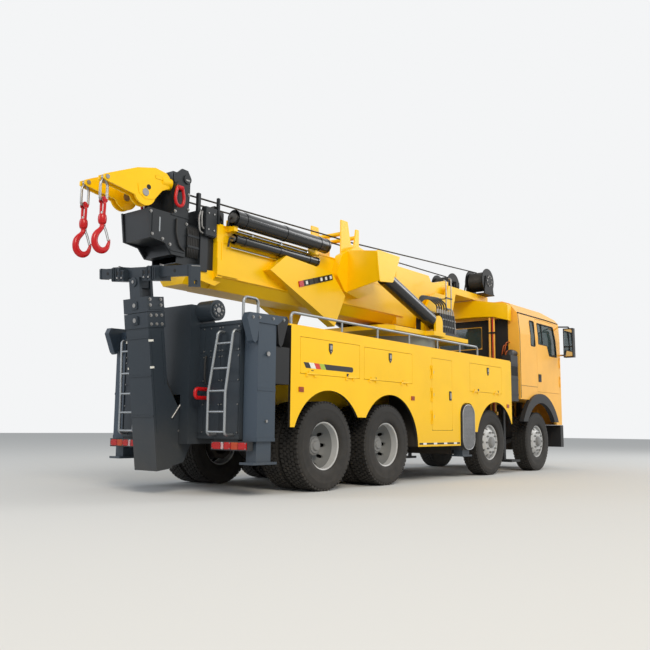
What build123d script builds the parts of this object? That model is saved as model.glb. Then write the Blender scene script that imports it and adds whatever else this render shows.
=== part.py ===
from build123d import *
import math
import os

# Recovery truck with a slewing crane boom, millimetres. X runs forward, Y to the left, Z up.
# The origin is on the ground below the middle of the truck's length.

# Running gear
rear_axle_x = -2600.0
tandem_gap = 1350.0
middle_gap = 3200.0
front_gap = 1950.0
tyre_radius = 538.0
tyre_width = 296.0
bead_radius = 288.0
front_track_half = 1010.0
twin_outer_half = 1055.0
twin_gap = 330.0
kingpin_half = 820.0

# Chassis rails
rail_outer_half = 430.0
rail_height = 300.0
rail_top = 1010.0
rail_width = 80.0
rail_wall = 10.0
rail_front = 7560.0

# Locker body
body_half_width = 1250.0
body_rear = -730.0
body_front = 5180.0
body_top = 1930.0
body_skin = 35.0
body_depth = 620.0
locker_floor = 1340.0
arch_radius = 700.0
arch_centre_z = 505.0
skirt_rear_z = 760.0
skirt_front_z = 850.0
skirt_low_z = 500.0
low_box_rear = 2040.0
low_box_front = 3310.0
slot_front = 3770.0
slot_top = 1160.0
tooth_z = 890.0
slot_tooth_z = 710.0
door_gap = 5.0
door_thick = 28.0

# Deck and slewing ring
deck_top = 1950.0
slew_x = 3290.0
ring_radius = 720.0
ring_bottom = 2010.0
ring_top = 2200.0

# Crane
boom_pivot_d = 4160.0
boom_pivot_z = 2920.0
boom_half = 300.0
boom_bottom = 2420.0
boom_floor = 2550.0
boom_top = 3215.0
boom_mouth = -1060.0
boom_heel = 4690.0
boom_wall = 26.0
mid_wall = 18.0
lift_top_d = 1690.0
lift_top_z = 3020.0
lift_foot_d = 3290.0
lift_foot_z = 2440.0
lift_half = 800.0
barrel_radius = 115.0
rod_radius = 75.0
pin_clear = 0.3

# Underlift
fold_d = -1340.0
fold_z = 720.0
arm_half = 195.0
mast_half = 350.0
mast_rear = -1460.0
housing_rear = -1310.0
housing_front = -974.3
housing_top = 1940.0
housing_bottom = 620.0

# Cab
cab_half = 1200.0
cab_rear = 5680.0
cab_front = 7740.0
cab_floor_z = 1300.0
cab_gutter_z = 2870.0
cab_roof_z = 3110.0
cab_wall = 45.0
door_rear = 6460.0
door_front = 7560.0
door_top_z = 2850.0


def fore(distance):
    """Place along X, given its distance forward of the rearmost axle."""
    return rear_axle_x + distance


axle_x = {
    1: fore(tandem_gap + middle_gap + front_gap),
    2: fore(tandem_gap + middle_gap),
    3: fore(tandem_gap),
    4: fore(0),
}


# Shapes that the pieces share

def block(x, y, z):
    """Box between three (low, high) pairs."""
    size = [pair[1] - pair[0] for pair in (x, y, z)]
    middle = [(pair[0] + pair[1]) / 2 for pair in (x, y, z)]
    return Pos(*middle) * Box(*size)


def side_plate(outline, y, radius=0.0):
    """Prism across the truck from an (x, z) outline, its corners rounded."""
    points = [(x, y[0], z) for x, z in outline]
    face = make_face(rounded(points, radius))
    return extrude(face, amount=y[1] - y[0], dir=(0, 1, 0))


def cross_plate(outline, x, radius=0.0):
    """Prism along the truck from a (y, z) outline."""
    points = [(x[0], y, z) for y, z in outline]
    face = make_face(rounded(points, radius))
    return extrude(face, amount=x[1] - x[0], dir=(1, 0, 0))


def floor_plate(outline, z, radius=0.0):
    """Prism upwards from an (x, y) outline."""
    points = [(x, y, z[0]) for x, y in outline]
    face = make_face(rounded(points, radius))
    return extrude(face, amount=z[1] - z[0], dir=(0, 0, 1))


def rounded(points, radius):
    if radius == 0.0:
        return Polyline(*points, close=True)
    return FilletPolyline(*points, radius=radius, close=True)


def bar(start, end, radius):
    """Round bar between two points."""
    line = Vector(*end) - Vector(*start)
    place = Plane(origin=start, z_dir=line)
    return place * Cylinder(radius, line.length, align=(Align.CENTER, Align.CENTER, Align.MIN))


def cross_bar(x, z, y, radius):
    """Round bar across the truck."""
    return bar((x, y[0], z), (x, y[1], z), radius)


def pipe(points, radius, bend):
    """Bent round bar along straight runs."""
    path = FilletPolyline(*points, radius=bend)
    ring = Plane(origin=path @ 0, z_dir=path % 0) * Circle(radius)
    return sweep(ring, path=path)


def other_side(shape):
    return mirror(shape, about=Plane.XZ)


def both(shape):
    """The piece and its mirror image on the other side of the truck."""
    return [shape, other_side(shape)]


def join(pieces):
    shape = pieces[0]
    for piece in pieces[1:]:
        shape = shape + piece
    return shape


def turned(profile):
    """Solid of revolution about Z from (radius, height) points."""
    points = [(radius, 0, height) for radius, height in profile]
    return revolve(make_face(Polyline(*points, close=True)), axis=Axis.Z)


nodes = {}

# Wheels: tyre, rim, disc and hub, turned about the axle line with the outside upwards

tyre_profile = [
    (bead_radius, -0.39 * tyre_width),
    (bead_radius + 14, -0.47 * tyre_width),
    (bead_radius + 110, -0.50 * tyre_width),
    (tyre_radius - 45, -0.47 * tyre_width),
    (tyre_radius, -0.37 * tyre_width),
    (tyre_radius, 0.37 * tyre_width),
    (tyre_radius - 45, 0.47 * tyre_width),
    (bead_radius + 110, 0.50 * tyre_width),
    (bead_radius + 14, 0.47 * tyre_width),
    (bead_radius, 0.39 * tyre_width),
]
rim_wall = 18.0
drum_radius = 205.0
spindle_radius = 45.0
rear_spindle_radius = 60.0
spindle_clear = 0.05
hand_holes = 10
hand_hole_radius = 24.0
hand_hole_circle = 228.0
drum_inner = 90.0
twin_drum_inner = 460.0


def rim_barrel():
    half = 0.39 * tyre_width
    return turned([
        (bead_radius - rim_wall, -half),
        (bead_radius + 2, -half),
        (bead_radius + 2, half),
        (bead_radius - rim_wall, half),
    ])


def ring_of_holes(shape, count, circle, radius, z):
    for k in range(count):
        turn = 2 * math.pi * k / count
        hole = Pos(circle * math.cos(turn), circle * math.sin(turn), (z[0] + z[1]) / 2)
        shape = shape - hole * Cylinder(radius, z[1] - z[0])
    return shape


def front_wheel():
    disc = turned([
        (0, 188), (78, 188), (96, 160), (96, 136), (190, 136), (bead_radius - 16, 62),
        (bead_radius - 16, 38), (186, 112), (96, 112), (96, 20), (drum_radius, 20),
        (drum_radius, -drum_inner), (0, -drum_inner),
    ])
    disc = ring_of_holes(disc, hand_holes, hand_hole_circle, hand_hole_radius, (40, 150))
    wheel = turned(tyre_profile) + rim_barrel() + disc
    bore_depth = 40.0 + drum_inner
    bore = Pos(0, 0, 40.0 - bore_depth / 2) * Cylinder(spindle_radius + spindle_clear, bore_depth)
    return wheel - bore


def twin_wheel():
    middle = -twin_gap / 2
    tyres = turned(tyre_profile) + Pos(0, 0, -twin_gap) * turned(tyre_profile)
    rims = rim_barrel() + Pos(0, 0, -twin_gap) * rim_barrel()
    spool = turned([
        (bead_radius - rim_wall, -0.39 * tyre_width + 1),
        (bead_radius - rim_wall - 1, middle + 16),
        (120, middle + 16), (120, -30), (98, -10), (60, 4), (0, 4),
        (0, -twin_drum_inner), (drum_radius, -twin_drum_inner), (drum_radius, middle - 30),
        (bead_radius - rim_wall - 1, middle - 16),
        (bead_radius - rim_wall, -twin_gap + 0.39 * tyre_width - 1),
        (bead_radius, -twin_gap + 0.39 * tyre_width - 1),
        (bead_radius, -0.39 * tyre_width + 1),
    ])
    bore_depth = twin_drum_inner - 130.0
    bore = Pos(0, 0, -twin_drum_inner + bore_depth / 2)
    bore = bore * Cylinder(rear_spindle_radius + spindle_clear, bore_depth)
    return tyres + rims + spool - bore


wheel_models = {1: front_wheel(), 2: None, 3: twin_wheel(), 4: None}
wheel_models[2] = wheel_models[1]
wheel_models[4] = wheel_models[3]
wheel_half = {1: front_track_half, 2: front_track_half, 3: twin_outer_half, 4: twin_outer_half}
for axle in (1, 2, 3, 4):
    seat = Pos(axle_x[axle], -wheel_half[axle], tyre_radius)
    right = seat * Rot(90, 0, 0) * wheel_models[axle]
    nodes[f"wheel_{axle}_right"] = right
    nodes[f"wheel_{axle}_left"] = other_side(right)

# Steered axles: forged beams with a fork knuckle at each end

eye_radius = 50.0
eye_half_height = 70.0
kingpin_radius = 22.0
fork_height = 34.0
fork_gap = 1.0


def steer_beam(x):
    beam = cross_plate(
        [(-kingpin_half, 588), (-690, 588), (-600, 470), (600, 470), (690, 588),
         (kingpin_half, 588), (kingpin_half, 490), (730, 490), (640, 372), (-640, 372),
         (-730, 490), (-kingpin_half, 490)],
        (x - 42, x + 42),
    )
    for y in (-kingpin_half, kingpin_half):
        beam = beam + Pos(x, y, tyre_radius) * Cylinder(eye_radius, 2 * eye_half_height)
        pin_height = 2 * (eye_half_height + fork_gap + fork_height)
        beam = beam + Pos(x, y, tyre_radius) * Cylinder(kingpin_radius, pin_height)
    return beam


def knuckle(x):
    """Right knuckle: two fork ears, the web outside the eye and the wheel spindle."""
    y = -kingpin_half
    inner = eye_half_height + fork_gap
    outer = inner + fork_height
    web_in = y - eye_radius - 3.0
    web_out = -front_track_half + drum_inner + pin_clear
    shape = block((x - 55, x + 55), (web_out, web_in), (tyre_radius - outer, tyre_radius + outer))
    for low in (-outer, inner):
        ear = block((x - 45, x + 45), (web_in, y), (tyre_radius + low, tyre_radius + low + fork_height))
        ear = ear + Pos(x, y, tyre_radius + low + fork_height / 2) * Cylinder(45, fork_height)
        shape = shape + ear
    shape = shape - Pos(x, y, tyre_radius) * Cylinder(kingpin_radius + spindle_clear, 2 * outer + 2)
    spindle_end = -front_track_half - 30.0
    return shape + cross_bar(x, tyre_radius, (spindle_end, web_in), spindle_radius)


def leaf_spring(x, y, half_length, eye_z, seat_z, depth):
    """Curved spring pack between two eyes, lowest at its seat."""
    top = ThreePointArc((x - half_length, y[0], eye_z), (x, y[0], seat_z + depth),
                        (x + half_length, y[0], eye_z))
    low = ThreePointArc((x - half_length, y[0], eye_z - depth / 3), (x, y[0], seat_z),
                        (x + half_length, y[0], eye_z - depth / 3))
    ends = [Line(top @ 0, low @ 0), Line(top @ 1, low @ 1)]
    return extrude(make_face([top, low, *ends]), amount=y[1] - y[0], dir=(0, 1, 0))


spring_width = 90.0
front_spring_half = 720.0
hanger_half = 30.0
rail_bottom = rail_top - rail_height
axle_parts = []
for axle in (1, 2):
    x = axle_x[axle]
    parts = [steer_beam(x)]
    for side in (-1, 1):
        y = side * (rail_outer_half - rail_width / 2)
        span = (y - spring_width / 2, y + spring_width / 2)
        parts.append(leaf_spring(x, span, front_spring_half, 600, 465, 90))
        for end in (-front_spring_half, front_spring_half):
            hanger = (x + end - hanger_half, x + end + hanger_half)
            parts.append(block(hanger, span, (560, rail_bottom)))
    axle_parts.append(join(parts))
    for side in ("right", "left"):
        arm = knuckle(x)
        nodes[f"knuckle_{axle}_{side}"] = arm if side == "right" else other_side(arm)

# Driven axles: banjo housings under one inverted spring pack a side

housing_tube_radius = 85.0
banjo_radius = 215.0
nose_length = 60.0
nose_radius = 70.0
rear_spring = (452.0, 542.0)
parts = []
for axle in (3, 4):
    x = axle_x[axle]
    drum_face = twin_outer_half - twin_drum_inner
    parts.append(cross_bar(x, tyre_radius, (-drum_face + pin_clear, drum_face - pin_clear),
                           housing_tube_radius))
    spindle_end = twin_outer_half - 140.0
    parts.append(cross_bar(x, tyre_radius, (-spindle_end, spindle_end), rear_spindle_radius))
    parts.append(Pos(x, 0, tyre_radius) * Sphere(banjo_radius))
    nose = banjo_radius + nose_length
    parts.append(bar((x, 0, tyre_radius), (x + nose, 0, tyre_radius), nose_radius))
    if axle == 3:
        parts.append(bar((x - nose, 0, tyre_radius), (x, 0, tyre_radius), nose_radius))
for side in (-1, 1):
    y = tuple(sorted(side * value for value in rear_spring))
    x = (axle_x[3] + axle_x[4]) / 2
    spring_end = tyre_radius + housing_tube_radius - 12.0
    spring = leaf_spring(x, y, tandem_gap / 2 + 60, spring_end + 25, spring_end + 90, 80)
    web = tuple(sorted((side * rail_outer_half, side * rear_spring[1])))
    parts.append(spring + block((x - 90, x + 90), web, (spring_end + 130, rail_top - 60)))
axle_parts.append(join(parts))
nodes["axles"] = Compound(children=axle_parts)

# Chassis: two channel rails, tube cross members and the front stabiliser tunnel

member_radius = 60.0
members = [-400.0, 675.0, 2000.0, 4250.0, 4950.0, 7450.0]
front_beam_d = 3540.0
front_beam_half = 100.0
front_beam_z = (375.0, 580.0)
tunnel_wall = 14.0
slide_clear = 0.3
tunnel_half_width = 1000.0


def channel_rail():
    inner = rail_outer_half - rail_width
    return cross_plate(
        [(-rail_outer_half, rail_bottom), (-inner, rail_bottom), (-inner, rail_bottom + rail_wall),
         (-rail_outer_half + rail_wall, rail_bottom + rail_wall),
         (-rail_outer_half + rail_wall, rail_top - rail_wall), (-inner, rail_top - rail_wall),
         (-inner, rail_top), (-rail_outer_half, rail_top)],
        (fore(housing_front), fore(rail_front)),
    )


def tunnel(x, y, z, wall):
    """Square tube across the truck round a sliding beam of the size given."""
    gap = slide_clear
    outer = block((x[0] - gap - wall, x[1] + gap + wall), y, (z[0] - gap - wall, z[1] + gap + wall))
    hole = block((x[0] - gap, x[1] + gap), (y[0] - 1, y[1] + 1), (z[0] - gap, z[1] + gap))
    return outer - hole


front_beam_x = (fore(front_beam_d) - front_beam_half, fore(front_beam_d) + front_beam_half)
frame = channel_rail() + other_side(channel_rail())
for d in members:
    web = rail_outer_half - rail_wall / 2
    frame = frame + cross_bar(fore(d), rail_bottom + rail_height / 2, (-web, web), member_radius)
tunnel_top = front_beam_z[1] + slide_clear + tunnel_wall
frame = frame + tunnel(front_beam_x, (-tunnel_half_width, tunnel_half_width), front_beam_z, tunnel_wall)
for side in (-1, 1):
    y = tuple(sorted((side * (rail_outer_half - rail_width), side * rail_outer_half)))
    frame = frame + block(front_beam_x, y, (tunnel_top - 5, rail_bottom))
nodes["chassis_frame"] = frame

# Engine as one plain block, gearbox and shafts

shaft_radius = 40.0
shaft_end = axle_x[3] + banjo_radius + nose_length
gear_rear = 5050.0
engine_parts = [
    block((fore(5950), fore(7300)), (-330, 330), (600, 1230)),
    block((fore(gear_rear), fore(5950)), (-190, 190), (640, 1000)),
    bar((fore(gear_rear) + 20, 0, 740), (shaft_end + 40, 0, tyre_radius + 6), shaft_radius),
    block((shaft_end, shaft_end + 60), (-60, 60), (tyre_radius - 60, tyre_radius + 60)),
]
foot_z = rail_bottom + rail_wall
for d in (6050, 7150):
    engine_parts.append(block((fore(d), fore(d) + 100), (-400, 400), (foot_z, foot_z + 50)))
between = bar((axle_x[3] - banjo_radius - nose_length, 0, tyre_radius),
              (axle_x[4] + banjo_radius + nose_length, 0, tyre_radius), shaft_radius)
nodes["powertrain"] = Compound(children=[join(engine_parts), between])

# Hinges: barrels round one pin; the fixed leaf lies below it, the moving leaf above

hinge_offset = 10.0
barrel = 9.0
hinge_pin = 4.0
hinge_half = 100.0
hinge_middle = 50.0
leaf_height = 35.0


def hinge(place):
    """Fixed and moving half of one hinge; its pin lies along local X, its leaves face local +Y."""
    fixed = bar((-hinge_half, 0, 0), (hinge_half, 0, 0), hinge_pin)
    for low, high in ((-hinge_half, -hinge_middle - 1), (hinge_middle + 1, hinge_half)):
        fixed = fixed + bar((low, 0, 0), (high, 0, 0), barrel)
        fixed = fixed + block((low, high), (0, hinge_offset), (-leaf_height, 0))
    moving = bar((-hinge_middle, 0, 0), (hinge_middle, 0, 0), barrel)
    leaf_low = 5.5
    moving = moving + block((-hinge_middle, hinge_middle), (0, hinge_offset), (leaf_low, leaf_height))
    moving = moving - bar((-hinge_half, 0, 0), (hinge_half, 0, 0), hinge_pin + spindle_clear)
    return place * fixed, place * moving


# Locker bodies: outer skin with arches, closed boxes behind it and pockets at the doors

lockers = {
    "a": {"rear": -560.0, "front": 620.0, "low": 1385.0, "high": 1810.0},
    "b": {"rear": 730.0, "front": 1900.0, "low": 1385.0, "high": 1800.0},
    "c": {"rear": 3640.0, "front": 4790.0, "low": 1355.0, "high": 1800.0},
    "tall": {"rear": 2450.0, "front": 3050.0, "low": 735.0, "high": 1790.0},
}
tall_hinges = (920.0, 1250.0, 1580.0)
pocket_margin = 30.0
low_box_depth = 500.0
locker_wall = 30.0
pocket_roof = 1895.0
box_floor = locker_floor - 25.0
slot_radius = 180.0

skin_y = (-body_half_width, -body_half_width + body_skin)
skin = side_plate(
    [(fore(body_rear), body_top), (fore(body_rear), skirt_rear_z), (axle_x[4], skirt_rear_z),
     (axle_x[4], tooth_z), (axle_x[3], tooth_z), (axle_x[3], skirt_low_z),
     (fore(slot_front), skirt_low_z), (fore(slot_front), slot_tooth_z), (axle_x[2], slot_tooth_z),
     (axle_x[2], skirt_front_z), (fore(body_front), skirt_front_z), (fore(body_front), body_top)],
    skin_y,
)
box_y = (skin_y[1], -body_half_width + body_depth)
body = skin + block((fore(body_rear), fore(body_front)), box_y, (box_floor, body_top))
low_box_x = (fore(low_box_rear) + 20, fore(low_box_front) - 10)
low_box_y = (skin_y[1], -body_half_width + low_box_depth)
body = body + block(low_box_x, low_box_y, (skirt_low_z, box_floor))
for axle in (2, 3, 4):
    body = body - cross_bar(axle_x[axle], arch_centre_z, (-body_half_width - 1, box_y[0]), arch_radius)
slot = side_plate(
    [(fore(low_box_front), 0), (fore(low_box_front), slot_top),
     (fore(slot_front), slot_top), (fore(slot_front), 0)],
    (-body_half_width - 1, box_y[0] + 1), slot_radius,
)
body = body - slot
hinge_y = -body_half_width - hinge_offset
for name, door in lockers.items():
    x = (fore(door["rear"]), fore(door["front"]))
    z = (door["low"], door["high"])
    opening = block((x[0] - door_gap, x[1] + door_gap), skin_y, (z[0] - door_gap, z[1] + door_gap))
    depth = low_box_y[1] if name == "tall" else box_y[1]
    floor = skirt_low_z + locker_wall if name == "tall" else locker_floor
    pocket = block((x[0] - pocket_margin, x[1] + pocket_margin), (skin_y[1], depth - locker_wall),
                   (floor, pocket_roof))
    body = body - opening - pocket
    panel = side_plate([(x[0], z[0]), (x[0], z[1]), (x[1], z[1]), (x[1], z[0])],
                       (-body_half_width, -body_half_width + door_thick), 20)
    if name == "tall":
        places = [Pos(x[0], hinge_y, height) * Rot(0, 90, 0) for height in tall_hinges]
    else:
        places = [Pos(place, hinge_y, z[0]) for place in (x[0] + 200, x[1] - 200)]
    for place in places:
        fixed, moving = hinge(place)
        body = body + fixed
        panel = panel + moving
    nodes[f"locker_{name}_right"] = panel
    nodes[f"locker_{name}_left"] = other_side(panel)
body = body + block((fore(body_rear), fore(body_front)), (box_y[1], -rail_outer_half),
                    (box_floor, locker_floor))
nodes["body_right"] = body
nodes["body_left"] = other_side(body)

# Deck plate on its box beam over the rails

deck_half = 1230.0
plate = block((fore(body_rear) - 10, fore(body_front) + 5), (-deck_half, deck_half), (body_top, deck_top))
beam = block((fore(body_rear) - 10, fore(body_front)), (-rail_outer_half, rail_outer_half),
             (rail_top, body_top))
nodes["deck"] = plate + beam

# Slewing ring on a round pedestal

pedestal_radius = 780.0
ring = Pos(fore(slew_x), 0, deck_top) * turned([
    (0, 0), (pedestal_radius, 0), (pedestal_radius, ring_bottom - deck_top),
    (ring_radius, ring_bottom - deck_top), (ring_radius, ring_top - deck_top), (0, ring_top - deck_top),
])
nodes["slew_ring"] = ring

# Outriggers: sliding beams, a leg tube at each beam's end and the leg inside it

rear_beam_x = (fore(-960), fore(-760))
rear_beam_z = (1300.0, 1600.0)
rear_leg = {"x": (fore(-1280), fore(-990)), "y": (-1250.0, -1045.0), "z": (600.0, 1950.0)}
front_leg = {"x": (fore(3400), fore(3680)), "y": (-1240.0, -1030.0), "z": (430.0, 1120.0)}
leg_wall = 28.0
rear_foot_z = 350.0
front_foot_z = 330.0
foot_height = 26.0
beam_inner_end = -30.0


def leg_tube(sizes):
    """Square tube, open below, that holds a sliding leg."""
    x, y, z = sizes["x"], sizes["y"], sizes["z"]
    hole = block((x[0] + leg_wall, x[1] - leg_wall), (y[0] + leg_wall, y[1] - leg_wall),
                 (z[0] - 1, z[1] - leg_wall))
    return block(x, y, z) - hole


def sliding_leg(sizes, foot_z, foot_half, top):
    x, y = sizes["x"], sizes["y"]
    gap = leg_wall + slide_clear
    low = foot_z + foot_height
    leg = block((x[0] + gap, x[1] - gap), (y[0] + gap, y[1] - gap), (low, top))
    middle = (x[0] + x[1]) / 2
    plate = side_plate([(middle - foot_half, foot_z), (middle - foot_half, low),
                        (middle + foot_half, low), (middle + foot_half, foot_z)], y)
    return leg + plate


tube = leg_tube(rear_leg)
cap = side_plate(
    [(fore(-1474), 1925), (fore(-1440), 1995), (fore(-830), 2010), (fore(-795), 1970),
     (fore(-890), 1690), (fore(-925), 1650), (fore(-960), 1690), (fore(-985), 1900),
     (fore(-1285), 1900), (fore(-1310), 1700), (fore(-1345), 1665), (fore(-1380), 1690)],
    (-1264, -1175),
)
arm = block(rear_beam_x, (rear_leg["y"][1], beam_inner_end), rear_beam_z)
end_plate = block((rear_leg["x"][1], rear_beam_x[1]), rear_leg["y"], (1240, 1660))
rear_beam = tube + cap + arm + end_plate
rear_leg_piece = sliding_leg(rear_leg, rear_foot_z, 190, 1800)

cover = side_plate(
    [(fore(3340), 430), (fore(3340), 1140), (fore(3740), 1140), (fore(3740), 430)],
    (-1270, -1240), 170,
)
front_tube = leg_tube(front_leg)
front_arm = block(front_beam_x, (front_leg["y"][1], beam_inner_end), front_beam_z)
front_beam = front_tube + cover + front_arm
front_leg_piece = sliding_leg(front_leg, front_foot_z, 150, 1060)
pieces = {
    "rear_beam": rear_beam, "rear_leg": rear_leg_piece,
    "front_beam": front_beam, "front_leg": front_leg_piece,
}
for name, piece in pieces.items():
    nodes[f"{name}_right"] = piece
    nodes[f"{name}_left"] = other_side(piece)

# Rear housing: mast with the underlift's fork and beam tunnels, and towing eyes on its rear face

fold_pin = 45.0
fork_half = 205.0
mast_low = 560.0
mast_solid_z = 1120.0
mast_top = 2160.0
housing_half = 1030.0
boss_z = 2090.0
boss_radius = 120.0

mast_x = (fore(mast_rear), fore(housing_front))
towing_eyes = []
housing = tunnel(rear_beam_x, (-1000, 1000), rear_beam_z, tunnel_wall)
housing = housing + side_plate(
    [(mast_x[0], mast_solid_z), (mast_x[0], mast_top), (fore(-1260), mast_top),
     (mast_x[1], 1900), (mast_x[1], mast_solid_z)],
    (-mast_half, mast_half),
)
for side in (-1, 1):
    cheek = tuple(sorted((side * fork_half, side * mast_half)))
    wing = tuple(sorted((side * (mast_half - 1), side * housing_half)))
    housing = housing + block(mast_x, cheek, (mast_low, mast_solid_z))
    housing = housing + block((fore(housing_rear), mast_x[1]), wing, (housing_bottom, housing_top))
    boss = tuple(sorted((side * (mast_half - 1), side * 600)))
    housing = housing + cross_bar(fore(-1280), boss_z, boss, boss_radius)
    towing_eyes.append(pipe([(fore(housing_rear), side * 480, 1180), (fore(-1480), side * 480, 1180),
                             (fore(-1480), side * 480, 1080), (fore(housing_rear), side * 480, 1080)],
                            22, 40))
housing = housing + cross_bar(fore(fold_d), fold_z, (-mast_half, mast_half), fold_pin)
nodes["rear_housing"] = housing
nodes["towing_eyes"] = Compound(children=towing_eyes)

# Tail lamps in boxes below the housing

lamps = []
for low, high in ((-1200, -630), (630, 1200)):
    lamp = block((fore(-1360), fore(-1280)), (low, high), (500, 600))
    inner = max(low, -1000), min(high, 1000)
    lamps.append(lamp + block((fore(housing_rear), fore(-1280)), inner, (590, housing_bottom)))
nodes["tail_lamps"] = Compound(children=lamps)

# Rails along the deck and ladders at the rear

rail_tube = 17.0
rail_z = 2090.0
rail_y = 1205.0
rail_posts = (300.0, 1100.0, 1900.0, 2700.0, 3400.0)


def ladder():
    """Right ladder: two bent stiles with four rungs, its feet on the housing's rear face."""
    stiles = []
    face = fore(housing_rear)
    back = fore(-1440)
    for low, high in ((-920, -1030), (-650, -790)):
        stiles.append(pipe([(face, low, 670), (back, low, 670), (back, low, 1130),
                            (back + 35, high + 40, 1820), (face, high + 40, 1820)], rail_tube, 40))
    rungs = [(700, -920, -650, 0), (920, -920, -650, 0), (1150, -922, -652, 2),
             (1400, -950, -685, 13), (1680, -977, -730, 27)]
    for z, low, high, lean in rungs:
        stiles.append(bar((back + lean, low, z), (back + lean, high, z), rail_tube - 4))
    return join(stiles)


def deck_rail():
    y = -rail_y
    run = pipe([(fore(-690), y, deck_top), (fore(-690), y, rail_z), (fore(4000), y, rail_z),
                (fore(4000), y, deck_top)], rail_tube, 60)
    for d in rail_posts:
        run = run + bar((fore(d), y, deck_top), (fore(d), y, rail_z), rail_tube - 4)
    return run


def rear_loop():
    y = -980
    points = [(fore(-1250), y, housing_top), (fore(-1250), y, 2220),
              (fore(-1010), y, 2220), (fore(-1010), y, housing_top)]
    return pipe(points, rail_tube, 60)


rails = []
for piece in (ladder(), deck_rail(), rear_loop()):
    rails.extend(both(piece))
nodes["railings"] = Compound(children=rails)

# Cab: one shell with its door, windscreen and window openings

arch_band_inner = 745.0
arch_band_outer = 915.0
cab_nose = 7890.0
screen_low = 2050.0


def cab_hull(inset):
    """Solid cab shape, every face moved in by the inset."""
    i = inset
    side = side_plate(
        [(fore(cab_rear) + i, cab_floor_z + i), (fore(cab_rear) + i, cab_roof_z - i),
         (fore(6900), cab_roof_z - 15 - i), (fore(cab_front) - 100 - i, 2960 - i),
         (fore(cab_nose) - i, screen_low), (fore(cab_nose) - i, cab_floor_z + i)],
        (-cab_half, cab_half),
    )
    plan = floor_plate(
        [(fore(cab_rear), -cab_half + i), (fore(7620), -cab_half + i), (fore(7780) - i, -1060 + i),
         (fore(cab_nose) - i, -600), (fore(cab_nose) - i, 600), (fore(7780) - i, 1060 - i),
         (fore(7620), cab_half - i), (fore(cab_rear), cab_half - i)],
        (cab_floor_z, cab_roof_z),
    )
    front = cross_plate(
        [(-cab_half + i, cab_floor_z), (-cab_half + i, 2500), (-1165 + i, cab_gutter_z),
         (-1020 + i, 3060 - i), (-880, cab_roof_z - i), (880, cab_roof_z - i),
         (1020 - i, 3060 - i), (1165 - i, cab_gutter_z), (cab_half - i, 2500),
         (cab_half - i, cab_floor_z)],
        (fore(cab_rear), fore(cab_nose)),
    )
    return side & plan & front


door_points = [(door_rear, 1460), (door_front, 1460), (door_front, 2180), (7400, door_top_z),
               (door_rear, door_top_z)]
door_points = [(fore(d), z) for d, z in door_points]
door_side = (-cab_half - 20, -cab_half + 120)


def door_prism(gap):
    face = make_face(rounded([(x, door_side[0], z) for x, z in door_points], 30))
    if gap:
        face = offset(face, amount=-gap)
    return extrude(face, amount=door_side[1] - door_side[0], dir=(0, 1, 0))


door_cut = door_prism(0)
door_fill = door_prism(door_gap)
door_window = side_plate(
    [(fore(6540), 2370), (fore(6960), 2370), (fore(7060), 2180), (fore(7440), 2180),
     (fore(7340), 2780), (fore(6540), 2780)], door_side, 30,
)
sleeper_window = side_plate(
    [(fore(6190), 2310), (fore(6400), 2310), (fore(6400), 2790), (fore(6190), 2790)], door_side, 30,
)
screen_hole = cross_plate([(-1020, 2060), (1020, 2060), (960, 2860), (-960, 2860)],
                          (fore(7560), fore(cab_nose) + 10), 60)
rear_hole = cross_plate([(-450, 2250), (450, 2250), (450, 2650), (-450, 2650)],
                        (fore(cab_rear) - 5, fore(cab_rear) + cab_wall + 5), 40)
walls = cab_hull(0) - cab_hull(cab_wall)
shell = walls
for cutter in (door_cut, other_side(door_cut), sleeper_window, other_side(sleeper_window)):
    shell = shell - cutter
shell = shell - screen_hole - rear_hole
fender = side_plate(
    [(fore(6500), 1500), (fore(6500), 850), (fore(7780), 850), (fore(7780), 1500)],
    (-cab_half, -cab_half + cab_wall),
)
fender = fender & floor_plate(
    [(fore(6500), -cab_half), (fore(7620), -cab_half), (fore(7640), -1150), (fore(6500), -1150)],
    (850, cab_floor_z),
)
shell = shell + fender + other_side(fender)
nose_x = (fore(cab_nose) - 60, fore(cab_nose))
shell = shell + block(nose_x, (-600, 600), (905, cab_floor_z))
corner = floor_plate(
    [(fore(7600), -1200), (fore(7620), -1200), (fore(7780), -1060), (fore(cab_nose), -600),
     (fore(cab_nose) - 45, -600), (fore(7740), -1035), (fore(7605), -1155), (fore(7600), -1155)],
    (850, cab_floor_z + 5),
)
shell = shell + corner + other_side(corner)
for z in (960, 1040, 1120, 1200, 1420, 1500, 1580, 1660, 1740):
    shell = shell + block((fore(cab_nose) - 5, fore(cab_nose) + 22), (-560, 560), (z, z + 34))
shell = shell - cross_bar(axle_x[1], arch_centre_z, (-cab_half - 1, -cab_half + 60), arch_band_outer)
shell = shell - cross_bar(axle_x[1], arch_centre_z, (cab_half - 60, cab_half + 1), arch_band_outer)
cab_hinge_y = -cab_half - hinge_offset
door = (walls & door_fill) - door_window
for z in (1700, 2080):
    fixed, moving = hinge(Pos(door_points[1][0], cab_hinge_y, z) * Rot(0, -90, 0))
    shell = shell + fixed + other_side(fixed)
    door = door + moving
mirror_x = fore(7530)
door = door + block((mirror_x - 55, mirror_x + 55), (-1530, -1330), (2180, 2760))
door = door + bar((mirror_x, -1190, 2230), (mirror_x, -1350, 2230), 16)
door = door + pipe([(fore(7390), -1170, 2720), (fore(7420), -1260, 2790), (mirror_x, -1430, 2790),
                    (mirror_x, -1430, 2740)], 14, 20)
nodes["cab_shell"] = shell
nodes["cab_door_right"] = door
nodes["cab_door_left"] = other_side(door)

# Fixed glass: windscreen, rear window and the two sleeper windows

glass_shell = cab_hull(12) - cab_hull(18)
panes = [glass_shell & screen_hole, glass_shell & rear_hole, glass_shell & sleeper_window]
panes.append(other_side(panes[2]))
nodes["cab_glass"] = Compound(children=[pane.solids()[0] for pane in panes])

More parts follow.
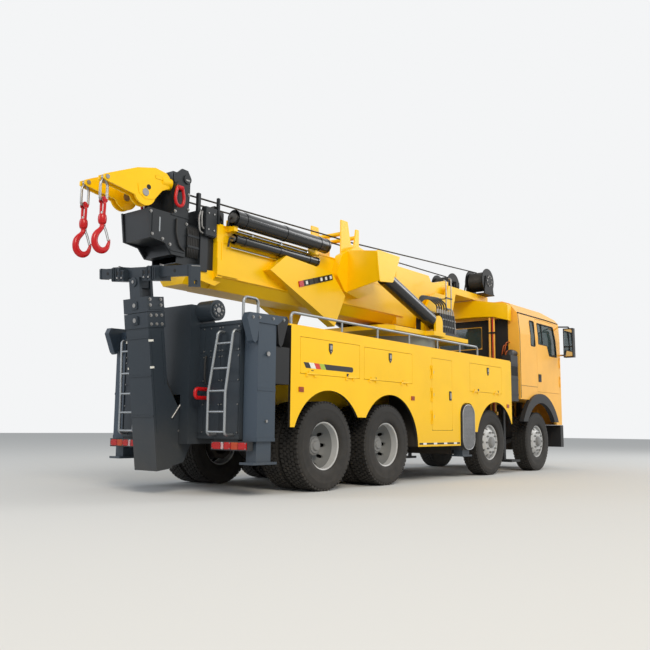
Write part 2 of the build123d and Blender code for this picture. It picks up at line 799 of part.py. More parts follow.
# Cab inside: two seats, bunk and dashboard on the floor

inside_floor = cab_floor_z + cab_wall
interior = [block((fore(cab_rear) + cab_wall, fore(6250)), (-1050, 1050), (inside_floor, 1850))]
for side in (-1, 1):
    y = tuple(sorted((side * 380, side * 880)))
    seat = block((fore(6480), fore(7000)), y, (inside_floor, 1780))
    seat = seat + block((fore(6480), fore(6620)), y, (1780, 2450))
    interior.append(seat)
dash = side_plate([(fore(7350), inside_floor), (fore(7350), 1950), (fore(7560), 2010),
                   (fore(7740), 2010), (fore(7740), inside_floor)], (-900, 900))
column = bar((fore(7360), 600, 1900), (fore(7230), 600, 1990), 28)
wheel_plane = Plane(origin=(fore(7230), 600, 1990), z_dir=(-130, 0, 90))
interior.append(dash + column + wheel_plane * Cylinder(230, 26))
nodes["cab_interior"] = Compound(children=interior)

# Cab fittings: bumper, arch bands, mounts, steps, intake stack

band_y = (-1250.0, -1165.0)
fittings = []
bumper = floor_plate(
    [(fore(rail_front), -1190), (fore(7700), -1190), (fore(7860), -1000), (fore(7930), -600),
     (fore(7930), 600), (fore(7860), 1000), (fore(7700), 1190), (fore(rail_front), 1190)],
    (420, 845),
)
headlamp = floor_plate(
    [(fore(7850), -1010), (fore(7876), -1015), (fore(7930), -700), (fore(7900), -700)], (560, 740))
bumper = bumper + headlamp + other_side(headlamp)
fittings.append(bumper + block((fore(rail_front), fore(7800)), (-600, 600), (840, 900)))
band = cross_bar(axle_x[1], arch_centre_z, band_y, arch_band_outer)
band = band - cross_bar(axle_x[1], arch_centre_z, (band_y[0] - 1, band_y[1] + 1), arch_band_inner)
band = band & block((fore(5640), fore(7420)), band_y, (900, 1500))
fittings.extend(both(band))
for d in (5760, 7380):
    for side in (-1, 1):
        y = tuple(sorted((side * 345, side * 435)))
        fittings.append(block((fore(d), fore(d) + 110), y, (rail_top, cab_floor_z)))
for side in (-1, 1):
    y = tuple(sorted((side * 940, side * 1200)))
    step = block((fore(5240), fore(5590)), y, (190, 230))
    hanger_y = tuple(sorted((side * 960, side * 1000)))
    step = step + block((fore(5380), fore(5450)), hanger_y, (230, 1300))
    foot_y = tuple(sorted((side * rail_outer_half, side * 1000)))
    step = step + block((fore(5380), fore(5450)), foot_y, (820, 900))
    if side == -1:
        step = step + block((fore(5225), fore(5520)), (-1230, -1060), (1250, 2060))
        step = step + block((fore(5380), fore(5450)), (-1065, -960), (1250, 1300))
    fittings.append(step)
nodes["cab_fittings"] = Compound(children=fittings)

# Canopy behind the cab on two posts that stand on the rails

canopy_x = (fore(5490), fore(5640))
canopy_half = 1070.0
canopy_flat = 430.0
canopy_drop = 105.0
canopy_z = (2830.0, 3140.0)
canopy_sheet = 12.0
post_d = 5560.0


def canopy_prism(x, inset):
    """Roof shape seen from behind: level in the middle, falling to each side, drawn in by the inset."""
    half, low, high = canopy_half - inset, canopy_z[0], canopy_z[1] - inset
    return cross_plate(
        [(-half, low - canopy_drop), (-half, high - canopy_drop - 30), (-half + 40, high - canopy_drop),
         (-canopy_flat, high), (canopy_flat, high), (half - 40, high - canopy_drop),
         (half, high - canopy_drop - 30), (half, low - canopy_drop), (canopy_flat + 350, low - 20),
         (canopy_flat, low), (-canopy_flat, low), (-canopy_flat - 350, low - 20)], x)


canopy = canopy_prism(canopy_x, 0)
canopy = canopy - canopy_prism((canopy_x[0] + canopy_sheet, canopy_x[1] - canopy_sheet), canopy_sheet)
canopy = canopy - block((canopy_x[0] + canopy_sheet, canopy_x[1] - canopy_sheet), (-1000, 1000),
                        (canopy_z[0] - 120, canopy_z[0] + 30))
canopy = canopy + block((fore(post_d) - 30, fore(post_d) + 30), (-800, 800), (rail_top, rail_top + 60))
for y in (-750, 750):
    canopy = canopy + bar((fore(post_d), y, rail_top + 30), (fore(post_d), y, canopy_z[1] - 60), 28)
nodes["canopy"] = canopy

# Turret: base plate, cheeks with the boom's pin, feet of the lift cylinders, winch arms

turret_gap = 0.3
turret_low = ring_top + turret_gap
turret_floor = 2290.0
cheek_y = (360.0, 410.0)
boom_pin = 60.0
foot_pin = 45.0
foot_half = 50.0
ear_half_width = 90.0
ear_width = 36.0
arm_z = (3160.0, 3280.0)
winch_d = 5790.0
arm_end = winch_d + 250.0
platform_start = 4870.0

base = floor_plate(
    [(fore(1990), -600), (fore(2200), -780), (fore(3080), -780), (fore(3120), -910),
     (fore(3480), -910), (fore(3520), -780), (fore(4500), -780), (fore(4640), -640),
     (fore(4640), 640), (fore(4500), 780), (fore(3520), 780), (fore(3480), 910),
     (fore(3120), 910), (fore(3080), 780), (fore(2200), 780), (fore(1990), 600)],
    (turret_low + 20, turret_floor),
)
base = base + Pos(fore(slew_x), 0, turret_low + 10) * Cylinder(ring_radius, 20)
base = base + side_plate([(fore(2100), turret_floor), (fore(2640), 2395), (fore(3440), 2395),
                          (fore(3440), turret_floor)], (-340, 340))
turret = base
for side in (-1, 1):
    y = tuple(sorted(side * value for value in cheek_y))
    cheek = side_plate(
        [(fore(3440), turret_floor), (fore(3440), 2420), (fore(3900), 3010), (fore(4060), 3085),
         (fore(4400), 3085), (fore(4520), arm_z[1]), (fore(arm_end), arm_z[1]),
         (fore(arm_end), arm_z[0]), (fore(4760), arm_z[0]), (fore(4600), 2700),
         (fore(4600), turret_floor)], y,
    )
    turret = turret + cheek
    for offset_y in (-ear_half_width, ear_half_width):
        middle = side * lift_half + offset_y
        ear = (middle - ear_width / 2, middle + ear_width / 2)
        turret = turret + block((fore(3180), fore(3400)), ear, (turret_floor, 2440))
        turret = turret + cross_bar(fore(lift_foot_d), lift_foot_z, ear, 110)
    span = ear_half_width + ear_width / 2
    pin = (side * lift_half - span, side * lift_half + span)
    turret = turret + cross_bar(fore(lift_foot_d), lift_foot_z, pin, foot_pin)
turret = turret + cross_bar(fore(boom_pivot_d), boom_pivot_z, (-cheek_y[1], cheek_y[1]), boom_pin)
turret = turret + block((fore(platform_start), fore(arm_end)), (-cheek_y[1], cheek_y[1]),
                        (arm_z[0], arm_z[0] + 24))
nodes["turret"] = turret

# Winches: two drums between frame plates on the arms

winch_z = 3545.0
drum_y = (190.0, 550.0)
winch_base_z = (arm_z[1], arm_z[1] + 20)
winches = block((fore(winch_d) - 200, fore(winch_d) + 200), (-580, 580), winch_base_z)
for side in (-1, 1):
    for y in (170.0, 550.0):
        plate_y = tuple(sorted((side * y, side * (y + 20))))
        winches = winches + side_plate(
            [(fore(winch_d) - 190, winch_base_z[1]), (fore(winch_d) - 120, winch_z + 90),
             (fore(winch_d) + 120, winch_z + 90), (fore(winch_d) + 190, winch_base_z[1])],
            plate_y, 0,
        )
    drum = tuple(sorted(side * value for value in drum_y))
    winches = winches + cross_bar(fore(winch_d), winch_z, drum, 150)
    for y in drum_y:
        inward = 16 if y == drum_y[0] else -16
        flange = tuple(sorted((side * y, side * (y + inward))))
        winches = winches + cross_bar(fore(winch_d), winch_z, flange, 240)
nodes["winches"] = winches

# Lift cylinders, built along their own axis from the foot pin

lift_run = Vector(fore(lift_top_d) - fore(lift_foot_d), 0, lift_top_z - lift_foot_z)
lift_length = lift_run.length
barrel_length = lift_length - 190.0
rod_start = 130.0
barrels = []
rods = []
for side in (-1, 1):
    place = Plane(origin=(fore(lift_foot_d), side * lift_half, lift_foot_z),
                  x_dir=(0, 1, 0), z_dir=lift_run)
    tube = Pos(0, 0, barrel_length / 2 + 60) * Cylinder(barrel_radius, barrel_length - 120)
    lug = Rot(0, 90, 0) * Cylinder(105, 2 * foot_half)
    lug = lug + Box(2 * foot_half, 150, 130, align=(Align.CENTER, Align.CENTER, Align.MIN))
    barrel_shape = tube + lug - Rot(0, 90, 0) * Cylinder(foot_pin + spindle_clear, 2 * foot_half + 2)
    bore_length = barrel_length - rod_start + 10
    barrel_shape = barrel_shape - Pos(0, 0, rod_start - 5 + bore_length / 2) * Cylinder(
        rod_radius + spindle_clear, bore_length)
    barrels.append(place * barrel_shape)
    rod_end = lift_length - 80.0
    rod = Pos(0, 0, (rod_start + rod_end) / 2) * Cylinder(rod_radius, rod_end - rod_start)
    eye = Pos(0, 0, lift_length) * Rot(0, 90, 0) * Cylinder(95, 110)
    eye_hole = Pos(0, 0, lift_length) * Rot(0, 90, 0) * Cylinder(60.5, 112)
    rods.append(place * (rod + eye - eye_hole))
nodes["lift_barrels"] = Compound(children=barrels)
nodes["lift_rods"] = Compound(children=rods)

# Boom base: box section with a bevelled keel, heel over the pivot, brackets and side tubes

keel_half = 190.0
cavity_half = boom_half - boom_wall
cavity_z = (boom_floor + boom_wall, boom_top - boom_wall)
cavity_end = 3140.0
pad_gap = 0.3

section = [(-boom_half, boom_top), (-boom_half, boom_floor), (-keel_half, boom_bottom),
           (keel_half, boom_bottom), (boom_half, boom_floor), (boom_half, boom_top)]
boom_base = cross_plate(section, (fore(boom_mouth), fore(3150)))
heel = side_plate(
    [(fore(2970), boom_bottom), (fore(2970), 3390), (fore(4000), 3390), (fore(4090), 3290),
     (fore(4200), 3290), (fore(4560), 3385), (fore(boom_heel), 3385), (fore(boom_heel + 10), 3060),
     (fore(4480), 2760), (fore(4240), 2480), (fore(4080), boom_bottom)],
    (-boom_half, boom_half),
)
boom_base = boom_base + heel
boom_base = boom_base - block((fore(boom_mouth) - 1, fore(cavity_end)), (-cavity_half, cavity_half),
                              cavity_z)
boom_base = boom_base - cross_bar(fore(boom_pivot_d), boom_pivot_z, (-boom_half - 60, boom_half + 60),
                                  boom_pin + spindle_clear)
collar_x = (fore(boom_mouth), fore(boom_mouth) + 100)
for side in (-1, 1):
    y = tuple(sorted((side * boom_half, side * (boom_half + 24))))
    boom_base = boom_base + block(collar_x, y, (boom_floor, boom_top))
    hub = tuple(sorted((side * boom_half, side * (cheek_y[0] - 5))))
    ring = cross_bar(fore(boom_pivot_d), boom_pivot_z, hub, 130)
    boom_base = boom_base + (ring - cross_bar(fore(boom_pivot_d), boom_pivot_z, hub,
                                              boom_pin + spindle_clear))
lip = cross_plate([(-250, 2585), (-250, 2520), (-170, boom_bottom), (170, boom_bottom),
                   (250, 2520), (250, 2585)], (fore(-1460), fore(boom_mouth)))
boom_base = boom_base + lip

# Belly plates, cylinder brackets and the rope guide
belly_y = (boom_half, 430.0)
bracket_y = (boom_half, 420.0)
outer_plate_y = (975.0, 1000.0)
stub_gap = 5.0
eye_half = 55.0
stub_radius = 60.0
for side in (-1, 1):
    def span(low, high):
        return tuple(sorted((side * low, side * high)))
    belly = side_plate([(fore(-210), 2770), (fore(100), 3010), (fore(1080), 2950), (fore(1410), 2650),
                        (fore(1160), 2180)], span(*belly_y))
    inner = side_plate([(fore(1220), 2940), (fore(1330), 3250), (fore(1710), 3460), (fore(2150), 3380),
                        (fore(2150), 2800), (fore(1740), 2660), (fore(1400), 2720)],
                       span(*bracket_y), 60)
    outer = side_plate([(fore(1390), 3262), (fore(1990), 3262), (fore(1800), 2850), (fore(1460), 2815)],
                       span(*outer_plate_y), 30)
    roof = cross_plate([(side * 400, 3355), (side * 1000, 3262), (side * 1000, 3232),
                        (side * 400, 3325)], (fore(1480), fore(1980)))
    wall_ends = []
    for y, top, low in ((side * 990, (1395, 3245), (1464, 2835)), (side * 410, (1480, 3335), (1464, 2720))):
        corners = [(top[0], top[1]), (top[0] + 14, top[1]), (low[0] + 14, low[1]), (low[0], low[1])]
        wall_ends.append(make_face(Polyline([(fore(d), y, z) for d, z in corners], close=True)))
    rear_wall = loft(wall_ends, ruled=True)
    outer_stub = span(lift_half + eye_half + stub_gap, outer_plate_y[0] + 1)
    inner_stub = span(bracket_y[1] - 1, lift_half - eye_half - stub_gap)
    boom_base = boom_base + belly + inner + roof + outer + rear_wall
    boom_base = boom_base + cross_bar(fore(lift_top_d), lift_top_z, outer_stub, stub_radius)
    boom_base = boom_base + cross_bar(fore(lift_top_d), lift_top_z, inner_stub, stub_radius)
    for low, high in ((-890, -700), (700, 940)):
        saddle = span(boom_half - 5, 440)
        boom_base = boom_base + block((fore(low), fore(low) + 60), saddle, (3140, 3290))
    boom_base = boom_base + bar((fore(-890), side * 425, 3300), (fore(940), side * 425, 3300), 100)
    boom_base = boom_base + bar((fore(-820), side * 368, 3060), (fore(810), side * 368, 3060), 60)
    for low in (-600, 500):
        boom_base = boom_base + block((fore(low), fore(low) + 60), span(boom_half - 5, 368), (3020, 3100))
    guide = side_plate([(fore(1480), boom_top - 5), (fore(1480), 3830), (fore(1640), 3830),
                        (fore(1720), 3500), (fore(1810), 3500), (fore(1860), 3760), (fore(1930), 3760),
                        (fore(1930), boom_top - 5)], span(270, 295))
    boom_base = boom_base + guide
for d, z in ((1560, 3640), (1890, 3640)):
    boom_base = boom_base + cross_bar(fore(d), z, (-270, 270), 32)
nodes["boom_base"] = boom_base

# Middle boom section with wear pads at its rear end and a head collar

mid_half = 257.0
mid_z = (2600.0, 3165.0)
mid_x = (fore(-1300), fore(2700))
mid_cavity_half = mid_half - mid_wall
mid_cavity_z = (mid_z[0] + mid_wall, mid_z[1] - mid_wall)
tip_half = 222.0
tip_z = (2636.0, 3129.0)
tip_x = (fore(-1600), fore(2300))
tip_wall = 14.0
pad_length = 160.0


def box_tube(x, half, z, wall):
    hole = block((x[0] - 1, x[1] + 1), (-half + wall, half - wall), (z[0] + wall, z[1] - wall))
    return block(x, (-half, half), z) - hole


def pad_ring(x, half, z, room_half, room_z):
    """Wear pads round a section, a running gap short of the walls round it."""
    outer = block(x, (-room_half + pad_gap, room_half - pad_gap), (room_z[0] + pad_gap, room_z[1] - pad_gap))
    return outer - block((x[0] - 1, x[1] + 1), (-half, half), z)


boom_mid = box_tube(mid_x, mid_half, mid_z, mid_wall)
mid_pads = pad_ring((mid_x[1] - pad_length, mid_x[1]), mid_half, mid_z, cavity_half, cavity_z)
boom_mid = boom_mid + mid_pads
mid_collar = block((mid_x[0], mid_x[0] + 120), (-290, 290), (2592, 3205))
boom_mid = boom_mid + (mid_collar - block((mid_x[0] - 1, mid_x[0] + 121), (-mid_half, mid_half), mid_z))
nodes["boom_mid"] = boom_mid
mouth_pads = pad_ring((fore(boom_mouth), fore(boom_mouth) + pad_length), mid_half + pad_gap,
                      (mid_z[0] - pad_gap, mid_z[1] + pad_gap), cavity_half + pad_gap,
                      (cavity_z[0] - pad_gap, cavity_z[1] + pad_gap))
nodes["boom_base"] = nodes["boom_base"] + mouth_pads
mid_mouth_pads = pad_ring((mid_x[0], mid_x[0] + pad_length), tip_half + pad_gap,
                          (tip_z[0] - pad_gap, tip_z[1] + pad_gap), mid_cavity_half + pad_gap,
                          (mid_cavity_z[0] - pad_gap, mid_cavity_z[1] + pad_gap))
nodes["boom_mid"] = nodes["boom_mid"] + mid_mouth_pads

# Boom tip with its head: side plates, core, mast plates and the pins of the beaks

beak_y = 170.0
beak_z = 3560.0
beak_pin = 30.0
beak_root = -1700.0
hook_d = -2600.0
hook_z = 3410.0
hook_pin = 14.0
boom_tip = box_tube(tip_x, tip_half, tip_z, tip_wall)
boom_tip = boom_tip + pad_ring((tip_x[1] - pad_length, tip_x[1]), tip_half, tip_z, mid_cavity_half,
                               mid_cavity_z)
head_low = 2865.0
head_shelf = 3200.0
head_sheet = 24.0
head_plate = [(fore(-2055), head_shelf), (fore(-2014), head_low), (fore(-1800), 2835), (fore(-1700), 2720),
              (fore(-1500), 2720), (fore(-1450), 3500), (fore(-1450), 3710), (fore(-1490), 3770),
              (fore(-1580), 3775), (fore(-1640), 3720), (fore(-1690), 3700), (fore(-1690), head_shelf)]
spine_half = 24.0
spine = side_plate([(fore(-1905), head_shelf - head_sheet), (fore(-1905), 3650), (fore(-1870), 3725),
                    (fore(-1800), 3765), (fore(-1730), 3745), (fore(-1690), 3690),
                    (fore(-1690), head_shelf - head_sheet)], (-spine_half, spine_half))
head_back = side_plate([(fore(-2035), head_shelf), (fore(-2000), head_low), (fore(-1974), head_low),
                        (fore(-2009), head_shelf)], (-tip_half - 1, tip_half + 1))
boom_tip = boom_tip + spine + head_back
for side in (-1, 1):
    y = tuple(sorted((side * tip_half, side * (tip_half + 26))))
    boom_tip = boom_tip + side_plate(head_plate, y)
    boom_tip = boom_tip + bar((fore(beak_root) - 130, side * beak_y, beak_z),
                              (fore(beak_root) + 20, side * beak_y, beak_z), beak_pin)
boom_tip = boom_tip + block((fore(beak_root), fore(-1590)), (-tip_half - 1, tip_half + 1), (2720, 3720))
for x, z in ((-2030, head_shelf - head_sheet), (-1990, head_low)):
    boom_tip = boom_tip + block((fore(x), fore(beak_root)), (-tip_half - 1, tip_half + 1),
                                (z, z + head_sheet))
boom_tip = boom_tip + cross_bar(fore(-1500), 3660, (-tip_half - 1, tip_half + 1), 40)
for y in (-120, 120):
    boom_tip = boom_tip + cross_bar(fore(-1500), 3660, (y - 25, y + 25), 120)
nodes["boom_tip"] = boom_tip

# Sheave heads at the boom tip and the hooks that hang from them

beak_half = 55.0
beak_plate = 20.0
slot_half = beak_half - beak_plate
sheave_d = -2090.0
sheave_z = 3364.0
cover_radius = 148.0
beak_outline = [(fore(-1745), 3490), (fore(-1745), 3620), (fore(-1790), 3660), (fore(-1955), 3685),
                (fore(-2210), 3622), (fore(-2560), 3468), (fore(-2640), 3430), (fore(-2640), 3385),
                (fore(-2600), 3365), (fore(-2400), 3335), (fore(-2230), 3305), (fore(-1960), 3305),
                (fore(-1850), 3440)]
beak = side_plate(beak_outline, (-beak_half, beak_half))
beak = beak + cross_bar(fore(sheave_d), sheave_z, (-beak_half, beak_half), cover_radius)
beak = beak - block((fore(-2700), fore(-1930)), (-slot_half, slot_half), (3000, 3480))
beak = beak + cross_bar(fore(sheave_d), sheave_z, (-beak_half + 5, beak_half - 5), 30)
beak = beak + cross_bar(fore(sheave_d), sheave_z, (-24, 24), 112)
beak = beak + bar((fore(-1850), 0, beak_z), (fore(-1706), 0, beak_z), 70)
beak = beak - bar((fore(-1835), 0, beak_z), (fore(-1700), 0, beak_z), beak_pin + spindle_clear)
beak = beak + cross_bar(fore(hook_d), hook_z, (-beak_half + 5, beak_half - 5), hook_pin)
link_half = 44.0
link_low = 3160.0
link = pipe([(fore(hook_d) - 10, 0, hook_z - 18), (fore(hook_d) - link_half, 0, hook_z - 70),
             (fore(hook_d) - link_half, 0, link_low), (fore(hook_d) + link_half, 0, link_low),
             (fore(hook_d) + link_half, 0, hook_z - 70), (fore(hook_d) + 10, 0, hook_z - 18)], 14, 20)
link = link + cross_bar(fore(hook_d), hook_z, (-16, 16), 32)
link = link - cross_bar(fore(hook_d), hook_z, (-20, 20), hook_pin + spindle_clear)
clevis_z = (2950.0, 3190.0)
clevis = block((fore(hook_d) - 40, fore(hook_d) + 40), (-32, 32), clevis_z)
clevis = clevis - block((fore(hook_d) - 19, fore(hook_d) + 19), (-33, 33), (2990, 3145))
shank = Pos(fore(hook_d), 0, 2920) * Cylinder(37, 70)
bowl_path = FilletPolyline(
    *[(fore(hook_d + x), 0, z) for x, z in ((0, 2900), (0, 2845), (-66, 2800), (-96, 2705), (-62, 2622),
                                           (15, 2598), (84, 2632), (100, 2720))], radius=28)
bowl_start = Plane(origin=bowl_path @ 0, z_dir=bowl_path % 0) * Circle(27)
hook = link + clevis + shank + sweep(bowl_start, path=bowl_path)
for name, place in (("right", -beak_y), ("left", beak_y)):
    nodes[f"beak_{name}"] = Pos(0, place, 0) * beak
    nodes[f"hook_{name}"] = Pos(0, place, 0) * hook

# Underlift, built upright in its own leaning frame: arm, sliding inner arm and crossbar

lean = math.radians(7.1)
lean_plane = Plane(origin=(fore(-1750), 0, 260), x_dir=(math.cos(lean), 0, math.sin(lean)),
                   z_dir=(-math.sin(lean), 0, math.cos(lean)))
arm_depth = 223.0
arm_length = 1770.0
collar_low = 1600.0
inner_low = 580.0
inner_collar = (arm_length + 6.0, 1945.0)
swivel_depth = 90.0
swivel_height = 2130.0
swivel_pin = 30.0
swivel_rest = 5.0
fold_at = Vector(fore(fold_d) - fore(-1750), 0, fold_z - 260)
fold_u = fold_at.X * math.cos(lean) + fold_at.Z * math.sin(lean)
fold_s = -fold_at.X * math.sin(lean) + fold_at.Z * math.cos(lean)

arm_tube = block((0, arm_depth), (-arm_half, arm_half), (0, arm_length))
foot = side_plate([(0, 0), (388, 42), (460, 150), (580, 330), (560, 480), (430, 545), (223, 950),
                   (0, 950)], (-arm_half, arm_half))
arm = arm_tube + foot + cross_bar(fold_u, fold_s, (-arm_half, arm_half), 130)
arm = arm + block((-12, arm_depth + 12), (-arm_half - 12, arm_half + 12), (collar_low, arm_length))
arm = arm - block((20, arm_depth - 20), (-arm_half + 20, arm_half - 20), (inner_low - 20, arm_length + 1))
arm = arm - cross_bar(fold_u, fold_s, (-arm_half - 1, arm_half + 1), fold_pin + spindle_clear)
inner_arm = block((20 + slide_clear, arm_depth - 20 - slide_clear),
                  (-arm_half + 20 + slide_clear, arm_half - 20 - slide_clear), (inner_low, 1945))
inner_arm = inner_arm + block((-12, arm_depth + 12), (-arm_half - 12, arm_half + 12), inner_collar)
for low in (-5, 150):
    inner_arm = inner_arm + block((low, low + 35), (-90, 90), (1945, swivel_height + 45))
inner_arm = inner_arm + bar((-5, 0, swivel_height), (185, 0, swivel_height), swivel_pin)
bar_s = (swivel_height + 50, swivel_height + 168)
bar_ends = (-885.0, 700.0)
receiver_low = swivel_height + 10
hub = block((35, 145), (-80, 80), (swivel_height - 70, swivel_height + 70))
hub = hub + bar((35, 0, swivel_height), (145, 0, swivel_height), 80)
cross_parts = [hub, block((35, 145), bar_ends, bar_s)]
for inner_y, outer_y, high in ((160, 236, 2270), (235, 320, 2300), (340, 390, 2300)):
    for side in (-1, 1):
        y = tuple(sorted((side * inner_y, side * outer_y)))
        cross_parts.append(block((-20, 200), y, (receiver_low, high)))
end_y = (-915.0, -875.0)
eye_height = swivel_height - 20
cross_parts.append(block((20, 160), end_y, (swivel_height - 70, swivel_height + 170)))
eye_hole = 26.0
crossbar = join(cross_parts)
crossbar = crossbar - cross_bar(swivel_depth, eye_height, (end_y[0] - 1, end_y[1] + 1), eye_hole)
crossbar = crossbar - bar((0, 0, swivel_height), (180, 0, swivel_height), swivel_pin + spindle_clear)
crossbar = Pos(0, 0, swivel_height) * Rot(swivel_rest, 0, 0) * Pos(0, 0, -swivel_height) * crossbar
nodes["underlift_arm"] = lean_plane * arm
nodes["underlift_inner"] = lean_plane * inner_arm
nodes["crossbar"] = lean_plane * crossbar

# One STEP file for each node

os.makedirs("parts", exist_ok=True)
for name, shape in nodes.items():
    export_step(shape, f"parts/{name}.step")
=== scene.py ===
import bmesh
import bpy
import math
from mathutils import Matrix, Vector


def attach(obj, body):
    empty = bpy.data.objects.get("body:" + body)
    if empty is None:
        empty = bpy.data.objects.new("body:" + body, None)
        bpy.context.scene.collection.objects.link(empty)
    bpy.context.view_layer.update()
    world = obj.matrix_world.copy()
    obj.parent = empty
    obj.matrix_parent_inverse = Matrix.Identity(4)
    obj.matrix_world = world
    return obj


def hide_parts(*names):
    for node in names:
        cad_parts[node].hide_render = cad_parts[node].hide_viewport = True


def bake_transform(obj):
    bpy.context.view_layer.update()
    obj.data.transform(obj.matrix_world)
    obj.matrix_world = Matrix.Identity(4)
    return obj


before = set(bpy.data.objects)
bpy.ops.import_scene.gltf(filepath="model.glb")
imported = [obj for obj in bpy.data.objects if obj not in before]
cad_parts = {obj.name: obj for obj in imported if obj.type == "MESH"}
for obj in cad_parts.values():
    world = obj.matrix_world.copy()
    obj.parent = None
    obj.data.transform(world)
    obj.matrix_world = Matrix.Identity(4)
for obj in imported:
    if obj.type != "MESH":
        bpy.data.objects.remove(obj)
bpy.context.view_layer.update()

# Stage, light and camera: a pale studio floor, soft lamps round the truck, and the camera low
# behind its right rear corner. The brighter backdrop shows only to the camera, in reflections and
# through glass; the truck is lit by the dimmer one.
scene = bpy.context.scene
scene.view_settings.view_transform = "Standard"


def linear(hex_colour):
    """sRGB hex colour as linear RGBA."""
    parts = [int(hex_colour[i:i + 2], 16) / 255 for i in (1, 3, 5)]
    return [p / 12.92 if p <= 0.04045 else ((p + 0.055) / 1.055) ** 2.4 for p in parts] + [1.0]


def add(tree, kind, settings, inputs):
    """Adds a node; an input is a value, or a socket to link from."""
    made = tree.nodes.new(kind)
    for name, value in settings.items():
        setattr(made, name, value)
    for key, value in inputs.items():
        if isinstance(value, bpy.types.NodeSocket):
            tree.links.new(value, made.inputs[key])
        else:
            made.inputs[key].default_value = value
    return made


def collection_object(name, data):
    """Object for a mesh, a lamp or the camera, linked to the scene."""
    made = bpy.data.objects.new(name, data)
    scene.collection.objects.link(made)
    return made


def emptied(owner):
    """Node tree of a material or the world, with nothing in it yet."""
    owner.use_nodes = True
    owner.node_tree.nodes.clear()
    return owner.node_tree


floor_material = bpy.data.materials.new("studio_floor")
tree = emptied(floor_material)
diffuse = add(tree, "ShaderNodeBsdfDiffuse", {}, {"Color": linear("#d9d9d7")})
add(tree, "ShaderNodeOutputMaterial", {}, {"Surface": diffuse.outputs[0]})
floor_half = 60
floor_height = -0.002
floor_corners = [(a * floor_half, b * floor_half, floor_height)
                 for a, b in ((-1, -1), (1, -1), (1, 1), (-1, 1))]
floor_mesh = bpy.data.meshes.new("studio_floor")
floor_mesh.from_pydata(floor_corners, [], [(0, 1, 2, 3)])
floor_mesh.materials.append(floor_material)
floor = collection_object("studio_floor", floor_mesh)

world = bpy.data.worlds.new("studio")
scene.world = world
tree = emptied(world)
path = add(tree, "ShaderNodeLightPath", {}, {})
seen = add(tree, "ShaderNodeMath", {"operation": "MAXIMUM"},
           {0: path.outputs["Is Camera Ray"], 1: path.outputs["Is Glossy Ray"]})
seen = add(tree, "ShaderNodeMath", {"operation": "MAXIMUM"},
           {0: seen.outputs[0], 1: path.outputs["Is Transmission Ray"]})
lit = add(tree, "ShaderNodeBackground", {}, {"Color": linear("#eef2f6"), "Strength": 0.62})
backdrop = add(tree, "ShaderNodeBackground", {}, {"Color": linear("#f4f5f6"), "Strength": 1.0})
mixed = add(tree, "ShaderNodeMixShader", {},
            {0: seen.outputs[0], 1: lit.outputs[0], 2: backdrop.outputs[0]})
add(tree, "ShaderNodeOutputWorld", {}, {"Surface": mixed.outputs[0]})

lamp_target = Vector((0, 0, 1.5))
lamps = [
    ("key", (-14.0, -16.0, 15.0), 9.0, 2900.0, "#fff4e2"),
    ("fill", (-16.0, 9.0, 9.0), 8.0, 650.0, "#e6eefb"),
    ("front", (14.0, -9.0, 10.0), 8.0, 900.0, "#ffffff"),
]
for name, place, size, power, tint in lamps:
    light = bpy.data.lights.new(name, "AREA")
    light.size = size
    light.energy = power
    light.color = linear(tint)[:3]
    lamp = collection_object(name, light)
    lamp.matrix_world = (Vector(place) - lamp_target).to_track_quat("Z", "Y").to_matrix().to_4x4()
    lamp.matrix_world.translation = place

camera_place = (-9.98262, -6.97928, 0.75944)
camera_yaw = 0.666867
camera_pitch = 0.133011
camera_roll = 0.009197
focal_pixels = 765.64
picture_pixels = 650
film_width = 36.0
forward = Vector((math.cos(camera_yaw) * math.cos(camera_pitch),
                  math.sin(camera_yaw) * math.cos(camera_pitch), math.sin(camera_pitch)))
right = Vector((math.sin(camera_yaw), -math.cos(camera_yaw), 0.0))
up = right.cross(forward)
tilted_right = math.cos(camera_roll) * right + math.sin(camera_roll) * up
tilted_up = -math.sin(camera_roll) * right + math.cos(camera_roll) * up
camera = collection_object("camera", bpy.data.cameras.new("camera"))
camera.data.sensor_width = film_width
camera.data.lens = film_width * focal_pixels / picture_pixels
camera.data.clip_end = 300.0
turned_rows = zip(tilted_right, tilted_up, -forward, camera_place)
camera.matrix_world = Matrix(list(turned_rows) + [(0, 0, 0, 1)])
scene.camera = camera

# Frame rails, axles and driveline: pressed and forged steel under black chassis paint, dusty from
# the road. The rails are bolted to cross members; the springs carry the axles.


def sided(names):
    """Names from a list with spaces; a star stands for the right and the left one."""
    return [name.replace("*", side) for name in names.split()
            for side in (("right", "left") if "*" in name else ("",))]


def dress(names, first, *choices):
    """Gives CAD nodes one material, and others where the middle of a face passes a test."""
    for name in sided(names):
        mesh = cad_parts[name].data
        mesh.materials.clear()
        mesh.materials.append(first)
        for material, test in choices:
            mesh.materials.append(material)
            for face in mesh.polygons:
                x, y, z = face.center
                if test(x, abs(y), z):
                    face.material_index = len(mesh.materials) - 1


